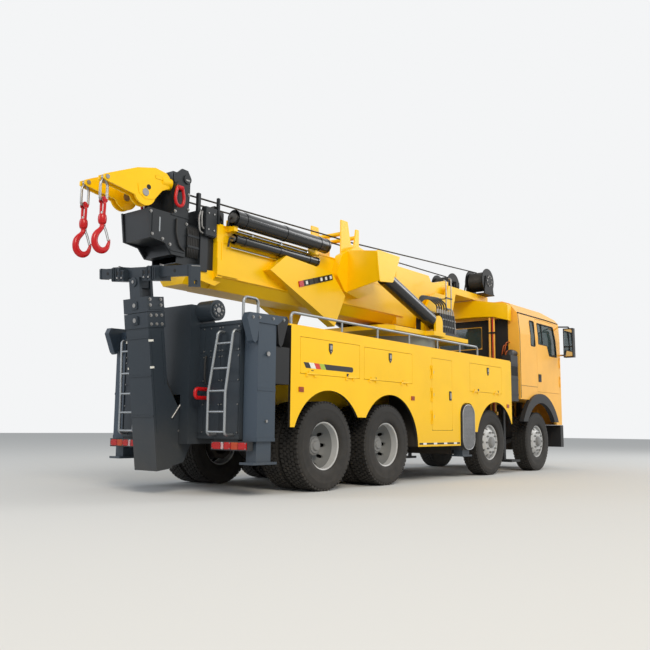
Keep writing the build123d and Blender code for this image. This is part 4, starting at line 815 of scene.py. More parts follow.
# Raised bars on a grid of 34 by 17 mm, turned by 45 degrees
bars = add(tree, "ShaderNodeTexBrick", {"offset": 0.5},
           {"Vector": turned_place.outputs[0], "Scale": 1.0, "Brick Width": 0.034, "Row Height": 0.017,
            "Mortar Size": 0.006, "Mortar Smooth": 0.4, "Color1": (1, 1, 1, 1), "Color2": (1, 1, 1, 1),
            "Mortar": (0, 0, 0, 1)})
bump = add(tree, "ShaderNodeBump", {}, {"Strength": 0.6, "Distance": 0.002, "Height": bars.outputs["Color"]})
shader = add(tree, "ShaderNodeBsdfPrincipled", {},
             {"Base Color": linear("#8d8f8f"), "Metallic": 0.8, "Roughness": 0.42, "Normal": bump.outputs[0]})
add(tree, "ShaderNodeOutputMaterial", {}, {"Surface": shader.outputs[0]})


def deck_sheet(made):
    """Checker plate strips, 3 mm over the deck."""
    for lo, hi in (((-3.31, -1.215), (-0.05, 1.215)), ((1.46, -1.215), (2.56, 1.215)),
                   ((-0.05, -1.215), (1.46, -0.74)), ((-0.05, 0.74), (1.46, 1.215))):
        put_box(made, (lo[0], lo[1], 1.9495), (hi[0], hi[1], 1.953), 0.0, 0)


build_piece("deck_plates", deck_sheet, [checker_plate], "chassis")
ring_grey = painted_steel("ring_grey", "#8d9187", "#6e675c", -0.5, 2.0, 0.38, 0.05, 0.2)
dress("slew_ring", ring_grey)
ring_bolts = [(x, z, y) for x, y, z in upright_ring(0.69, 1.997, 0, 0.705, 48)]
bolts_at("ring_bolts", ring_bolts, (0, 0, 1), "chassis", 0.026, 0.014)

# Rails and ladders: bent tube, hot-dip zinc coated, dull silver with a faint spangle.
# Zinc spangles of about 11 mm differ in how they shine
galvanised = bpy.data.materials.new("galvanised_tube")
tree = emptied(galvanised)
place = add(tree, "ShaderNodeTexCoord", {}, {})
spangle = add(tree, "ShaderNodeTexVoronoi", {}, {"Vector": place.outputs["Object"], "Scale": 90.0})
tone = add(tree, "ShaderNodeMapRange", {},
           {"Value": spangle.outputs["Distance"], "To Min": 0.34, "To Max": 0.5})
shader = add(tree, "ShaderNodeBsdfPrincipled", {},
             {"Base Color": linear("#9a9ea1"), "Metallic": 0.85, "Roughness": tone.outputs[0]})
add(tree, "ShaderNodeOutputMaterial", {}, {"Surface": shader.outputs[0]})
dress("railings", galvanised)

# Crane boom: welded box of high-strength plate, base section yellow, the sliding sections and the
# head in dark grey. Hydraulic tubes in black run along both flanks of the base in bolted saddles.
# Satin dark grey paint on the mast, gloss black on the tubes, hard chrome like a mirror on the rods,
# red enamel on the forgings, drawn steel wire dull with grease, and matt extruded rubber
mast_grey = painted_steel("mast_grey", "#212529", "#5f5a52", -2.0, 0.9, 0.42, 0.06, 0.05)
tube_black = painted_steel("tube_black", "#16181a", "#4a4640", -2.0, 0.9, 0.22, 0.02, 0.5)
rod_chrome = plain("rod_chrome", "#c9cccf", 0.12, metal=1.0, mottle=0.02)
hook_red = painted_steel("hook_red", "#bd0f14", "#5a2a24", -2.0, 0.9, 0.28, 0.04, 0.15)
rope_steel = plain("rope_steel", "#3d3b38", 0.5, metal=0.7, mottle=0.2, scale=120.0)
hose_black = plain("hose_black", "#191919", 0.5, mottle=0.1, scale=60.0)


def near_tube(x, y, z):
    """Whether a face belongs to one of the tubes on the boom's flanks."""
    upper = -3.495 < x < -1.655 and math.hypot(y - 0.425, z - 3.3) < 0.104
    lower = -3.425 < x < -1.785 and math.hypot(y - 0.368, z - 3.06) < 0.064
    return upper or lower


dress("turret beak_*", crane_yellow)
dress("boom_base", crane_yellow, (tube_black, near_tube))
dress("boom_mid boom_tip", mast_grey)
dress("lift_barrels", tube_black)
dress("lift_rods", rod_chrome)


def tube_ends(made):
    """End caps, clamp bands and unions of the hydraulic tubes beside the boom, and two thin pipes."""
    for low, high, y, z, r in ((-3.49, -1.66, -0.425, 3.3, 0.1), (-3.42, -1.79, -0.368, 3.06, 0.06)):
        for x, wide in ((low, 0.028), (low + 0.16, 0.05), ((low + high) / 2, 0.05), (high - 0.2, 0.05),
                        (high - 0.028, 0.028)):
            put_rod(made, (x, y, z), (x + wide, y, z), r + 0.006, 0, 32)
        put_rod(made, (low - 0.028, y, z), (low + 0.004, y, z), r * 0.62, 1, 24)
        put_hose(made, [(low - 0.02, y, z), (low - 0.075, y, z), (low - 0.075, y + 0.02, z - 0.11)],
                 0.014, 2, 8)
    put_hose(made, [(-3.4, -0.345, 3.175), (-2.95, -0.345, 3.172), (-2.3, -0.345, 3.17),
                    (-1.72, -0.345, 3.16)], 0.013, 3, 8)
    put_hose(made, [(-3.44, -0.33, 2.955), (-2.66, -0.33, 2.952), (-1.6, -0.33, 2.945)], 0.012, 3, 8)
    for x in (-3.1, -2.55, -2.0):
        put_box(made, (x, -0.372, 3.15), (x + 0.03, -0.298, 3.192), 0.003, 3)


both_sides("boom_tubes", tube_ends, [tube_black, bolt_zinc, hose_black, rod_chrome], "boom_base")


def mouth_ribs(made):
    """Collar ribs and gussets at the mouth of the base section, and the strips along its edges."""
    for x in (-3.655, -3.585):
        put_box(made, (x, -0.331, 2.56), (x + 0.022, -0.298, 2.99), 0.003, 0)
    put_prism(made, [(-3.66, 2.575), (-3.3, 2.575), (-3.42, 2.7), (-3.66, 2.79)], -0.34, -0.322, 0, 0.003)
    put_prism(made, [(-4.03, 2.505), (-3.63, 2.445), (-3.45, 2.56), (-3.66, 2.63), (-3.98, 2.6)],
              -0.268, -0.252, 0, 0.003)
    put_box(made, (-3.62, -0.326, 2.562), (0.55, -0.299, 2.578), 0.004, 0)
    put_box(made, (-3.55, -0.306, 2.995), (0.35, -0.299, 3.007), 0.002, 0)
    put_box(made, (-3.55, -0.312, 3.196), (0.35, -0.299, 3.214), 0.003, 0)


both_sides("boom_ribs", mouth_ribs, [crane_yellow], "boom_base")


def marker_board(made):
    """Row of small work lamps with a red one at its rear end, above the belly plate."""
    slope = math.radians(16.5)
    lean = Matrix.Rotation(-slope, 4, "Y")
    middle = Vector((-1.88, -0.437, 2.772))
    for k in range(7):
        along = -0.33 + 0.11 * k
        spot = middle + Vector((along * math.cos(slope), 0, along * math.sin(slope)))
        put_box(made, spot - Vector((0.052, 0.007, 0.04)), spot + Vector((0.052, 0.012, 0.04)), 0.004,
                1 if k == 0 else 0, lean)
        if k in (1, 4, 5, 6):
            lens = spot - Vector((0, 0.008, 0))
            half = Vector((0.026, 0.004, 0.026))
            put_box(made, lens - half, lens + half, 0.004, 2, lean)


both_sides("work_lamps", marker_board, [board_black, lens_red, board_white], "boom_base")

# Sliding sections: steel hose box over the head of the middle one, with posts that keep the ropes
# in place, bent pipes and bolted side plates; a bundle of rubber hoses beside the tip section.


def mid_details(made):
    """The two parts of the hose box over the middle section's head."""
    put_box(made, (-3.86, -0.265, 3.205), (-3.68, 0.265, 3.36), 0.012, 0)
    put_box(made, (-3.66, -0.24, 3.215), (-3.47, 0.24, 3.4), 0.01, 0)


def mid_side(made):
    """Side plate of the hose box with two posts, pipes, hoses and bolt heads."""
    put_box(made, (-3.88, -0.345, 3.02), (-3.685, -0.262, 3.38), 0.01, 0)
    put_box(made, (-3.668, -0.335, 3.2), (-3.63, -0.295, 3.53), 0.006, 0)
    put_box(made, (-3.965, -0.3, 3.2), (-3.915, -0.255, 3.53), 0.006, 0)
    put_hose(made, [(-3.93, -0.31, 3.31), (-3.97, -0.325, 3.22), (-3.95, -0.325, 3.06), (-3.9, -0.325, 3.04)],
             0.011, 1, 8)
    put_hose(made, [(-3.9, -0.31, 3.31), (-3.925, -0.325, 3.24), (-3.915, -0.325, 3.12),
                    (-3.885, -0.325, 3.1)], 0.011, 1, 8)
    for y in (0.3, 0.275, 0.25):
        put_hose(made, [(-3.74, -y, 3.38), (-3.7, -y, 3.42), (-3.66, -y, 3.41), (-3.58, -y - 0.03, 3.26)],
                 0.01, 2, 8)
    for x, y, z in ((-3.83, -0.347, 3.3), (-3.74, -0.347, 3.3), (-3.83, -0.347, 3.1), (-3.74, -0.347, 3.1)):
        put_rod(made, (x, y, z), (x, y - 0.007, z), 0.011, 1, 6)


build_piece("hose_box", mid_details, [mast_grey], "boom_mid")
both_sides("hose_box_side", mid_side, [mast_grey, bolt_zinc, hose_black], "boom_mid")


def tip_ribs(made):
    """Bundle of seven upright hoses, held by two bands beside the tip section."""
    for k in range(7):
        x = -4.075 + 0.026 * k
        put_hose(made, [(x, -0.232, 3.1), (x, -0.262, 3.06), (x, -0.262, 2.8), (x + 0.02, -0.232, 2.74)],
                 0.0125, 0, 8)
    for z in (2.97, 2.84):
        put_box(made, (-4.09, -0.28, z), (-3.905, -0.235, z + 0.03), 0.004, 1)


both_sides("tip_hoses", tip_ribs, [hose_black, mast_grey], "boom_tip")

# Cab: pressed steel shell under a paler orange-yellow paint, with rubber-framed glass, black plastic
# mirrors, handles and grille slats. The seams are sealed joints between the real panels.
# Baked cab paint: smooth and glossier than the body's. Moulded plastic and rubber are dull beside it;
# silvered glass and chromed reflectors mirror the studio
cab_paint = painted_steel("cab_paint", "#fcbc48", "#8f8166", -0.2, 1.3, 0.32, 0.03, 0.1)
cab_plastic = plain("cab_plastic", "#202123", 0.55, mottle=0.12, scale=30.0)
seal_rubber = plain("seal_rubber", "#121213", 0.7)
mirror_glass = plain("mirror_glass", "#cdd4d8", 0.04, metal=1.0, mottle=0.01)
lamp_chrome = plain("lamp_chrome", "#d4d7d9", 0.08, metal=1.0, mottle=0.01)
lens_clear = plain("lens_clear", "#dfe5e8", 0.06, mottle=0.02, coat=1.0)
# Tinted laminated glass: dark green-grey, with a faint film of dust in patches of 330 mm
cab_glass = bpy.data.materials.new("tinted_glass")
tree = emptied(cab_glass)
place = add(tree, "ShaderNodeTexCoord", {}, {})
smear = add(tree, "ShaderNodeTexNoise", {}, {"Vector": place.outputs["Object"], "Scale": 3.0, "Detail": 5.0})
film = add(tree, "ShaderNodeMapRange", {}, {"Value": smear.outputs["Fac"], "To Min": 0.02, "To Max": 0.07})
shader = add(tree, "ShaderNodeBsdfPrincipled", {},
             {"Base Color": linear("#5d7270"), "Roughness": film.outputs[0], "IOR": 1.45,
              "Transmission Weight": 0.75})
add(tree, "ShaderNodeOutputMaterial", {}, {"Surface": shader.outputs[0]})
cab_side = 1.2
gutter_side = 1.165
nose_front = 5.29
dress("cab_shell", cab_paint, (cab_plastic, lambda x, y, z: x > 5.2935 and y < 0.57 and z < 1.79))
dress("cab_door_*", cab_paint, (cab_plastic, lambda x, y, z: y > 1.26))
dress("cab_glass", cab_glass)
dress("cab_fittings", cab_plastic)


def cab_wall(z):
    """Outside of the cab's right wall at a height, as Y."""
    return -(cab_side - (cab_side - gutter_side) * min(max((z - 2.5) / 0.37, 0.0), 1.0))


def nose_x(y, z):
    """Outside of the cab's front at a place, where the raked screen meets the swept corners."""
    raked = nose_front - 0.25 * min(max((z - 2.05) / 0.91, 0.0), 1.0)
    swept = nose_front - 0.11 * min(max((abs(y) - 0.6) / 0.46, 0.0), 1.0)
    return min(raked, swept)


def door_glass(made):
    """Door pane in two planes, which meet where the wall starts to lean in, 5 mm thick."""
    split = 2.5
    front_edge = 4.84 - 0.1 * (split - 2.18) / 0.6
    lower = [(3.94, 2.37), (4.36, 2.37), (4.46, 2.18), (4.84, 2.18), (front_edge, split), (3.94, split)]
    upper = [(3.94, split), (front_edge, split), (4.74, 2.78), (3.94, 2.78)]
    part = bmesh.new()
    for outline in (lower, upper):
        part.faces.new([part.verts.new((x, cab_wall(z) + 0.014, z)) for x, z in outline])
    bmesh.ops.remove_doubles(part, verts=part.verts, dist=0.0001)
    bmesh.ops.recalc_face_normals(part, faces=part.faces)
    bmesh.ops.solidify(part, geom=part.faces[:], thickness=0.005)
    adopt(made, part, 0)
    outline = [(3.94, 2.5), (3.94, 2.375), (4.362, 2.375), (4.462, 2.185), (4.836, 2.185),
               (front_edge, split), (4.737, 2.775), (3.94, 2.775), (3.94, 2.5)]
    put_hose(made, [(x, cab_wall(z) + 0.004, z) for x, z in outline], 0.011, 1, 8, 0.02)
    put_rod(made, (4.15, cab_wall(2.4) + 0.002, 2.375), (4.15, cab_wall(2.775) + 0.002, 2.775), 0.01, 1, 8)


both_sides("door_glass", door_glass, [cab_glass, seal_rubber], "cab_door_*")


def door_hardware(made):
    """Pocket handle, the mirrors' glasses and rod, and the cover of the lower wide-angle one."""
    put_box(made, (3.9, -1.206, 1.648), (4.045, -1.192, 1.8), 0.008, 0)
    put_box(made, (3.915, -1.212, 1.74), (4.03, -1.198, 1.778), 0.006, 0)
    for low, high in ((2.4, 2.735), (2.205, 2.375)):
        put_box(made, (4.869, -1.51, low), (4.876, -1.35, high), 0.01, 1)
    put_box(made, (4.872, -1.528, 2.182), (4.99, -1.332, 2.27), 0.02, 2)
    put_rod(made, (4.93, -1.345, 2.755), (4.93, -1.345, 2.19), 0.014, 0, 12)


both_sides("door_hardware", door_hardware, [cab_plastic, mirror_glass, cab_paint], "cab_door_*")


def cab_trim(made):
    """Seams, rain gutter, window seals, corner louvres and wiper on one side of the cab."""
    gutter = [(3.09, -1.168, 2.882), (4.4, -1.168, 2.884), (5.01, -1.166, 2.876)]
    put_hose(made, gutter, 0.01, 0, 8)
    rear_seam = [(3.105, cab_wall(z) - 0.0005, z) for z in (1.32, 2.5, 2.87)]
    put_hose(made, rear_seam, 0.006, 0, 6)
    put_box(made, (3.11, -1.2025, 1.546), (3.855, -1.196, 1.552), 0.0, 0)
    sleeper = [(3.59, 2.55), (3.59, 2.314), (3.797, 2.314), (3.797, 2.786), (3.59, 2.786), (3.59, 2.55)]
    put_hose(made, [(x, cab_wall(z) + 0.003, z) for x, z in sleeper], 0.012, 0, 8, 0.04)
    half = [(0.0, 2.062), (1.018, 2.062), (0.96, 2.858), (0.0, 2.858)]
    seal = []
    for (y0, z0), (y1, z1) in zip(half, half[1:]):
        for k in range(8):
            y, z = y0 + (y1 - y0) * k / 8, z0 + (z1 - z0) * k / 8
            seal.append((nose_x(y, z) - 0.002, -y, z))
    put_hose(made, seal, 0.014, 0, 8, 0.03)
    turn = Matrix.Rotation(math.atan2(0.14, -0.16), 4, "Z")
    for z in (1.74, 1.62, 1.5, 1.38):
        put_box(made, (5.062, -1.138, z - 0.022), (5.138, -1.118, z + 0.022), 0.005, 0, turn)
    wiper = [(nose_x(0.75, 2.07) + 0.012, -0.75, 2.075), (nose_x(0.6, 2.2) + 0.014, -0.6, 2.2),
             (nose_x(0.16, 2.42) + 0.014, -0.16, 2.42)]
    put_hose(made, wiper, 0.009, 0, 8)
    blade_low, blade_high = (nose_x(0.3, 2.09) + 0.008, -0.3, 2.09), (nose_x(0.16, 2.78) + 0.008, -0.1, 2.78)
    put_hose(made, [blade_low, blade_high], 0.008, 0, 8)


both_sides("cab_trim", cab_trim, [seal_rubber], "chassis")


def headlamps(made):
    """Two round reflectors behind clear lenses, an amber turn lamp and a low lens on one bumper corner."""
    along = Vector((0.054, 0.315, 0)).normalized()
    out = Vector((0.315, -0.054, 0)).normalized()
    start = Vector((5.276, -1.015, 0.65))
    for reach, radius, slot in ((0.25, 0.058, 0), (0.115, 0.058, 0), (0.02, 0.022, 2)):
        middle = start + along * reach
        put_rod(made, middle - out * 0.004, middle + out * 0.004, radius, 1, 24)
        put_rod(made, middle - out * 0.002, middle + out * 0.007, radius * 0.86, slot, 24, radius * 0.7)
    put_box(made, (5.318, -0.56, 0.48), (5.328, -0.43, 0.54), 0.006, 0)


both_sides("headlamps", headlamps, [lens_clear, lamp_chrome, lens_amber], "chassis")
# Woven seat cloth, drawn at 11 mm so that it can show, and moulded plastic of the dash: dark and dull
seat_cloth = plain("seat_cloth", "#2b2c30", 0.9, mottle=0.25, scale=90.0)
dash_plastic = plain("dash_plastic", "#2e2d2b", 0.65, mottle=0.1, scale=40.0)
dress("cab_interior", seat_cloth, (dash_plastic, lambda x, y, z: x > 4.62))


def intake_ribs(made):
    """Clamp bands, ribs and the hose of the air intake stack behind the cab."""
    for z in (1.35, 1.62, 1.89):
        put_box(made, (2.619, -1.236, z), (2.926, -1.054, z + 0.03), 0.004, 0)
    for k in range(9):
        x = 2.65 + 0.03 * k
        put_box(made, (x, -1.235, 1.7), (x + 0.014, -1.228, 1.87), 0.003, 0)
    put_hose(made, [(2.775, -1.145, 2.05), (2.8, -1.145, 2.115), (2.96, -1.12, 2.125), (3.085, -1.1, 2.12)],
             0.06, 0, 20, 0.08)


build_piece("intake_ribs", intake_ribs, [cab_plastic], "chassis")
# Extruded nylon air hose: orange-brown with a soft shine
hose_orange = plain("hose_orange", "#b4561f", 0.42, mottle=0.08, scale=50.0)
dress("canopy", crane_yellow, (cab_paint, lambda x, y, z: z < 2.8 and y > 0.6))


def cab_rear(made):
    """Air hoses on the cab's rear wall, and a red and a yellow pipe down the canopy's post."""
    for k, (y, z) in enumerate(((-1.01, 2.34), (-0.96, 2.29), (-1.01, 2.18))):
        put_hose(made, [(3.08, y, z), (3.02, y, z), (2.99, y + 0.03, z - 0.02), (2.99, y + 0.06, z - 0.16),
                        (3.04, y + 0.09, z - 0.2), (3.08, y + 0.09, z - 0.2)], 0.011, 0, 8, 0.04)
    put_hose(made, [(2.93, -0.75, 1.08), (2.93, -0.75, 2.8)], 0.012, 1, 8)
    put_hose(made, [(2.93, -0.69, 1.08), (2.93, -0.69, 2.8)], 0.02, 2, 8)
    for z in (1.4, 1.95, 2.5):
        put_box(made, (2.905, -0.79, z), (2.955, -0.665, z + 0.03), 0.004, 3)


def rear_mat(made):
    """Black sheet on the cab's rear wall, cut round the window: painted shade standing in for the shaded rear
    wall under the canopy.
    """
    for low, high, bottom, top in ((0.462, 0.985, 1.45, 2.78), (0.0, 0.462, 2.662, 2.78),
                                   (0.0, 0.462, 1.45, 2.238)):
        put_box(made, (3.07, -high, bottom), (3.0805, -low, top), 0.003, 0)
    for z in (1.56, 1.86, 2.16, 2.46, 2.74):
        put_rod(made, (3.071, -0.94, z), (3.066, -0.94, z), 0.014, 0, 12)


# Painted shade: a black sheet stands for the shade on the cab's rear wall
both_sides("rear_mat", rear_mat, [seal_rubber], "chassis")
both_sides("cab_rear", cab_rear, [hose_orange, hook_red, cab_paint, cab_plastic], "chassis")

# Tail lamps: moulded clusters in a steel box, with red, amber and clear lenses held by small screws.
dress("tail_lamps", cab_plastic)


def tail_lenses(made):
    """Lens blocks on one lamp box, outermost amber, then red, clear and red."""
    for low, high, slot in ((1.185, 1.06, 0), (1.055, 0.95, 1), (0.945, 0.84, 0), (0.835, 0.79, 2),
                            (0.785, 0.645, 0)):
        put_box(made, (-3.967, -low, 0.512), (-3.957, -high, 0.588), 0.004, slot)
    for k in range(12):
        z = 0.518 + 0.0055 * k
        put_box(made, (-3.9685, -1.183, z), (-3.9655, -0.647, z + 0.0018), 0.0, 0)


both_sides("tail_lenses", tail_lenses, [lens_red, lens_amber, lens_clear], "chassis")
lens_screws = [(-3.966, sign * y, z) for sign in (-1, 1) for y in (0.66, 0.83, 0.93, 1.17)
               for z in (0.52, 0.58)]
bolts_at("tail_lens_screws", lens_screws, (-1, 0, 0), "chassis", 0.01, 0.004)

# Rear housing and outriggers: welded plate in grey-blue paint. The towing jaws are forged and red; the
# round boss covers a winch drum's bearing, closed by a bolted cap.
dress("towing_eyes", hook_red)
# Painted shade: rear beam faces forward of the leg and on its inner part are chassis black, standing in for
# the shadow gap beside the leg
dress("rear_beam_*", leg_grey, (chassis_black, lambda x, y, z: x > -3.59 or y < 1.0))


def housing_panels(made):
    """Pressed panels, stiffeners and clamped hoses on the housing's rear face, and the boss's cap."""
    for low, high in ((0.28, 0.44), (0.53, 0.7), (0.72, 1.0)):
        for bottom, top in ((0.68, 1.02), (1.26, 1.56), (1.6, 1.89)):
            put_box(made, (-3.9155, -high, bottom), (-3.9085, -low, top), 0.004, 0)
    for bottom, top in ((1.9, 1.942), (0.622, 0.655)):
        put_box(made, (-3.924, -1.03, bottom), (-3.9, -0.245, top), 0.004, 0)
    for y in (0.25, 1.01):
        put_box(made, (-3.922, -y - 0.014, 0.66), (-3.905, -y, 1.895), 0.003, 0)
    put_hose(made, [(-3.93, -0.262, 1.88), (-3.934, -0.262, 1.5), (-3.93, -0.262, 0.7)], 0.01, 1, 8)
    put_hose(made, [(-3.93, -0.48, 1.56), (-3.945, -0.48, 1.5), (-3.945, -0.48, 1.3),
                    (-3.92, -0.48, 1.24)], 0.013, 1, 8)
    for z in (0.9, 1.4, 1.75):
        put_box(made, (-3.942, -0.276, z), (-3.912, -0.248, z + 0.022), 0.003, 2)
    put_rod(made, (-3.88, -0.601, 2.09), (-3.88, -0.612, 2.09), 0.086, 0, 32)
    put_rod(made, (-3.88, -0.611, 2.09), (-3.88, -0.618, 2.09), 0.03, 2, 24)


both_sides("housing_panels", housing_panels, [frame_paint, hose_black, bolt_zinc], "chassis")
bolts_both("boss_bolts", upright_ring(-3.88, -0.6125, 2.09, 0.064, 8), "chassis", 0.016, 0.008)
panel_bolts = [(-3.916, sign * y, z) for sign in (-1, 1) for y in (0.292, 0.428, 0.542, 0.688, 0.732, 0.988)
               for z in (0.695, 1.005, 1.275, 1.545, 1.615, 1.875)]
bolts_at("panel_bolts", panel_bolts, (-1, 0, 0), "chassis", 0.012, 0.006)


def leg_guard(made):
    """Two pin heads and two bands on the leg's tube, and the hose over its top."""
    put_rod(made, (-3.735, -1.264, 1.56), (-3.735, -1.275, 1.56), 0.026, 1, 20)
    put_rod(made, (-3.735, -1.25, 0.82), (-3.735, -1.266, 0.82), 0.016, 1, 16)
    for bottom, top in ((0.6, 0.64), (1.15, 1.18)):
        put_box(made, (-3.884, -1.256, bottom), (-3.586, -1.249, top), 0.003, 0)
    put_hose(made, [(-3.7, -1.15, 1.955), (-3.7, -1.15, 2.0), (-3.56, -1.12, 2.01), (-3.5, -1.06, 1.7),
                    (-3.42, -1.02, 1.59)], 0.013, 2, 8, 0.08)


both_sides("leg_guard", leg_guard, [leg_grey, bolt_zinc, hose_black], "rear_beam_*")
guard_bolts = [(x, -1.2645, z) for x, z in ((-3.985, 1.945), (-3.88, 1.955), (-3.66, 1.962), (-3.48, 1.968))]
bolts_both("guard_bolts", guard_bolts, "rear_beam_*", 0.024, 0.01)

# Underlift: welded box arm that folds up behind the housing, with a sliding inner arm and a swivelling
# crossbar. Grey-blue paint, worn bright at the collars; keeper plates hold the pins.
arm_lean = math.radians(7.1)
arm_foot = Vector((-4.35, 0.0, 0.26))
arm_along = Vector((-math.sin(arm_lean), 0.0, math.cos(arm_lean)))
arm_across = Vector((math.cos(arm_lean), 0.0, math.sin(arm_lean)))
arm_turn = Matrix.Rotation(-arm_lean, 4, "Y")
swivel_height = 2.13
swivel_tilt = math.radians(5.0)


def leaned(across, y, along):
    """Place in the arm's own leaning frame."""
    return arm_foot + across * arm_across + Vector((0, y, 0)) + along * arm_along


def tilted(across, y, along):
    """Place on the crossbar, which hangs 5 degrees out of level on its swivel."""
    height = along - swivel_height
    return leaned(across, y * math.cos(swivel_tilt) - height * math.sin(swivel_tilt),
                  swivel_height + y * math.sin(swivel_tilt) + height * math.cos(swivel_tilt))


def box_in(made, place, turn, lo, hi, bevel, slot):
    """Box between corners in a leaning or tilted frame, and square to it."""
    middle = place(*[(a + b) / 2 for a, b in zip(lo, hi)])
    half = Vector([abs(b - a) / 2 for a, b in zip(lo, hi)])
    put_box(made, middle - half, middle + half, bevel, slot, turn)


def leaned_box(made, lo, hi, bevel, slot):
    """Box set square to the leaning arm."""
    box_in(made, leaned, arm_turn, lo, hi, bevel, slot)


def tilted_box(made, lo, hi, bevel, slot):
    """Box set square to the crossbar."""
    box_in(made, tilted, arm_turn @ Matrix.Rotation(swivel_tilt, 4, "X"), lo, hi, bevel, slot)


def arm_details(made):
    """Keeper plates, grease points, stiffeners and hoses on the outer arm."""
    leaned_box(made, (-0.03, -0.055, 1.64), (-0.012, 0.055, 1.74), 0.012, 0)
    put_rod(made, leaned(-0.029, 0.0, 1.69), leaned(-0.036, 0.0, 1.69), 0.026, 1, 20)
    for low in (0.6, 1.05, 1.48):
        leaned_box(made, (-0.008, -0.197, low), (0.002, 0.197, low + 0.022), 0.003, 0)
    for y in (-0.2, 0.195):
        leaned_box(made, (0.03, y, 0.42), (0.05, y + 0.005, 1.56), 0.002, 0)
        leaned_box(made, (0.18, y, 0.95), (0.2, y + 0.005, 1.56), 0.002, 0)
        leaned_box(made, (-0.01, y - 0.002, 1.44), (0.058, y + 0.006, 1.465), 0.002, 2)
        leaned_box(made, (-0.01, y - 0.002, 1.14), (0.048, y + 0.006, 1.165), 0.002, 2)
    for y in (-0.15, 0.15):
        put_hose(made, [leaned(0.236, y, 1.56), leaned(0.24, y, 1.2), leaned(0.245, y, 0.98),
                        leaned(0.33, y, 0.8)], 0.013, 3, 8, 0.08)
    for y in (-0.202, 0.202):
        put_rod(made, leaned(0.47, y, 0.78), leaned(0.25, y, 0.56), 0.012, 1, 12)


build_piece("arm_details", arm_details, [frame_paint, bolt_zinc, board_white, hose_black], "underlift_arm")
for side, sign in both:
    collar = [leaned(a, sign * 0.2075, s) for a in (0.035, 0.112, 0.188) for s in (1.635, 1.735)]
    bolts_at("arm_collar_bolts_" + side, collar, (0, sign, 0), "underlift_arm", 0.026, 0.012)
    foot_ring = [leaned(*spot) for spot in upright_ring(0.427, sign * 0.1955, 0.405, 0.08, 6)]
    bolts_at("fold_pin_bolts_" + side, foot_ring, (0, sign, 0), "underlift_arm", 0.02, 0.01)


def inner_details(made):
    """Bearing cap of the swivel, its keeper and the bolted wear collar."""
    put_rod(made, leaned(-0.006, 0, swivel_height), leaned(-0.02, 0, swivel_height), 0.052, 0, 28)
    put_rod(made, leaned(-0.019, 0, swivel_height), leaned(-0.028, 0, swivel_height), 0.02, 1, 6)
    leaned_box(made, (-0.024, -0.05, 1.815), (-0.012, 0.05, 1.905), 0.01, 0)
    put_rod(made, leaned(-0.022, 0.0, 1.86), leaned(-0.03, 0.0, 1.86), 0.024, 1, 20)
    for y in (-0.212, 0.204):
        leaned_box(made, (0.02, y, 1.8), (0.2, y + 0.008, 1.824), 0.002, 0)


build_piece("inner_details", inner_details, [frame_paint, bolt_zinc], "underlift_inner")
collar = [leaned(a, -0.2075, s) for a in (0.035, 0.188) for s in (1.85, 1.915)]
bolts_both("inner_collar_bolts", collar, "underlift_inner", 0.026, 0.012)


def crossbar_details(made):
    """Rib stacks on the receivers, lock pins with rings, black discs painted as the shade in pin holes, bar
    collars and the hub's keeper.
    """
    for side in (-1, 1):
        for low, high, top in ((0.16, 0.236, 2.27), (0.235, 0.32, 2.3), (0.34, 0.39, 2.3)):
            for y in (low + 0.004, high - 0.018):
                tilted_box(made, (-0.03, side * y, 2.15), (-0.019, side * (y + 0.014), top - 0.01), 0.002, 0)
                tilted_box(made, (-0.01, side * y, top - 0.001), (0.19, side * (y + 0.014), top + 0.007),
                           0.002, 0)
        for y in (0.198, 0.278):
            put_rod(made, tilted(-0.021, side * y, 2.235), tilted(-0.0235, side * y, 2.235), 0.02, 2, 20)
            put_rod(made, tilted(-0.021, side * y, 2.18), tilted(-0.034, side * y, 2.18), 0.013, 1, 6)
        put_rod(made, tilted(0.09, side * 0.365, 2.3), tilted(0.09, side * 0.365, 2.318), 0.022, 1, 20)
        put_hose(made, [tilted(0.09, side * 0.352, 2.314), tilted(0.066, side * 0.352, 2.322),
                        tilted(0.066, side * 0.38, 2.322), tilted(0.092, side * 0.38, 2.314)],
                 0.004, 1, 8, 0.01)
    for y in (-0.86, 0.66):
        tilted_box(made, (0.029, y, 2.174), (0.151, y + 0.018, 2.304), 0.003, 0)
    # Painted shade: thin black discs stand for the shade inside two pin holes
    for y in (-0.64, 0.54):
        put_rod(made, tilted(0.0345, y, 2.24), tilted(0.0325, y, 2.24), 0.019, 2, 20)
    put_rod(made, tilted(0.034, 0, swivel_height), tilted(0.03, 0, swivel_height), 0.06, 0, 28)
    for y in (-0.912, -0.884):
        put_rod(made, tilted(0.028, y, 2.284), tilted(0.152, y, 2.284), 0.006, 1, 8)


build_piece("crossbar_details", crossbar_details, [frame_paint, bolt_zinc, seal_rubber], "crossbar")

# Boom head: dark welded plates that carry the rope guide sheaves, a red bow shackle on each flank, and
# two yellow sheave heads from which forged red hooks hang.


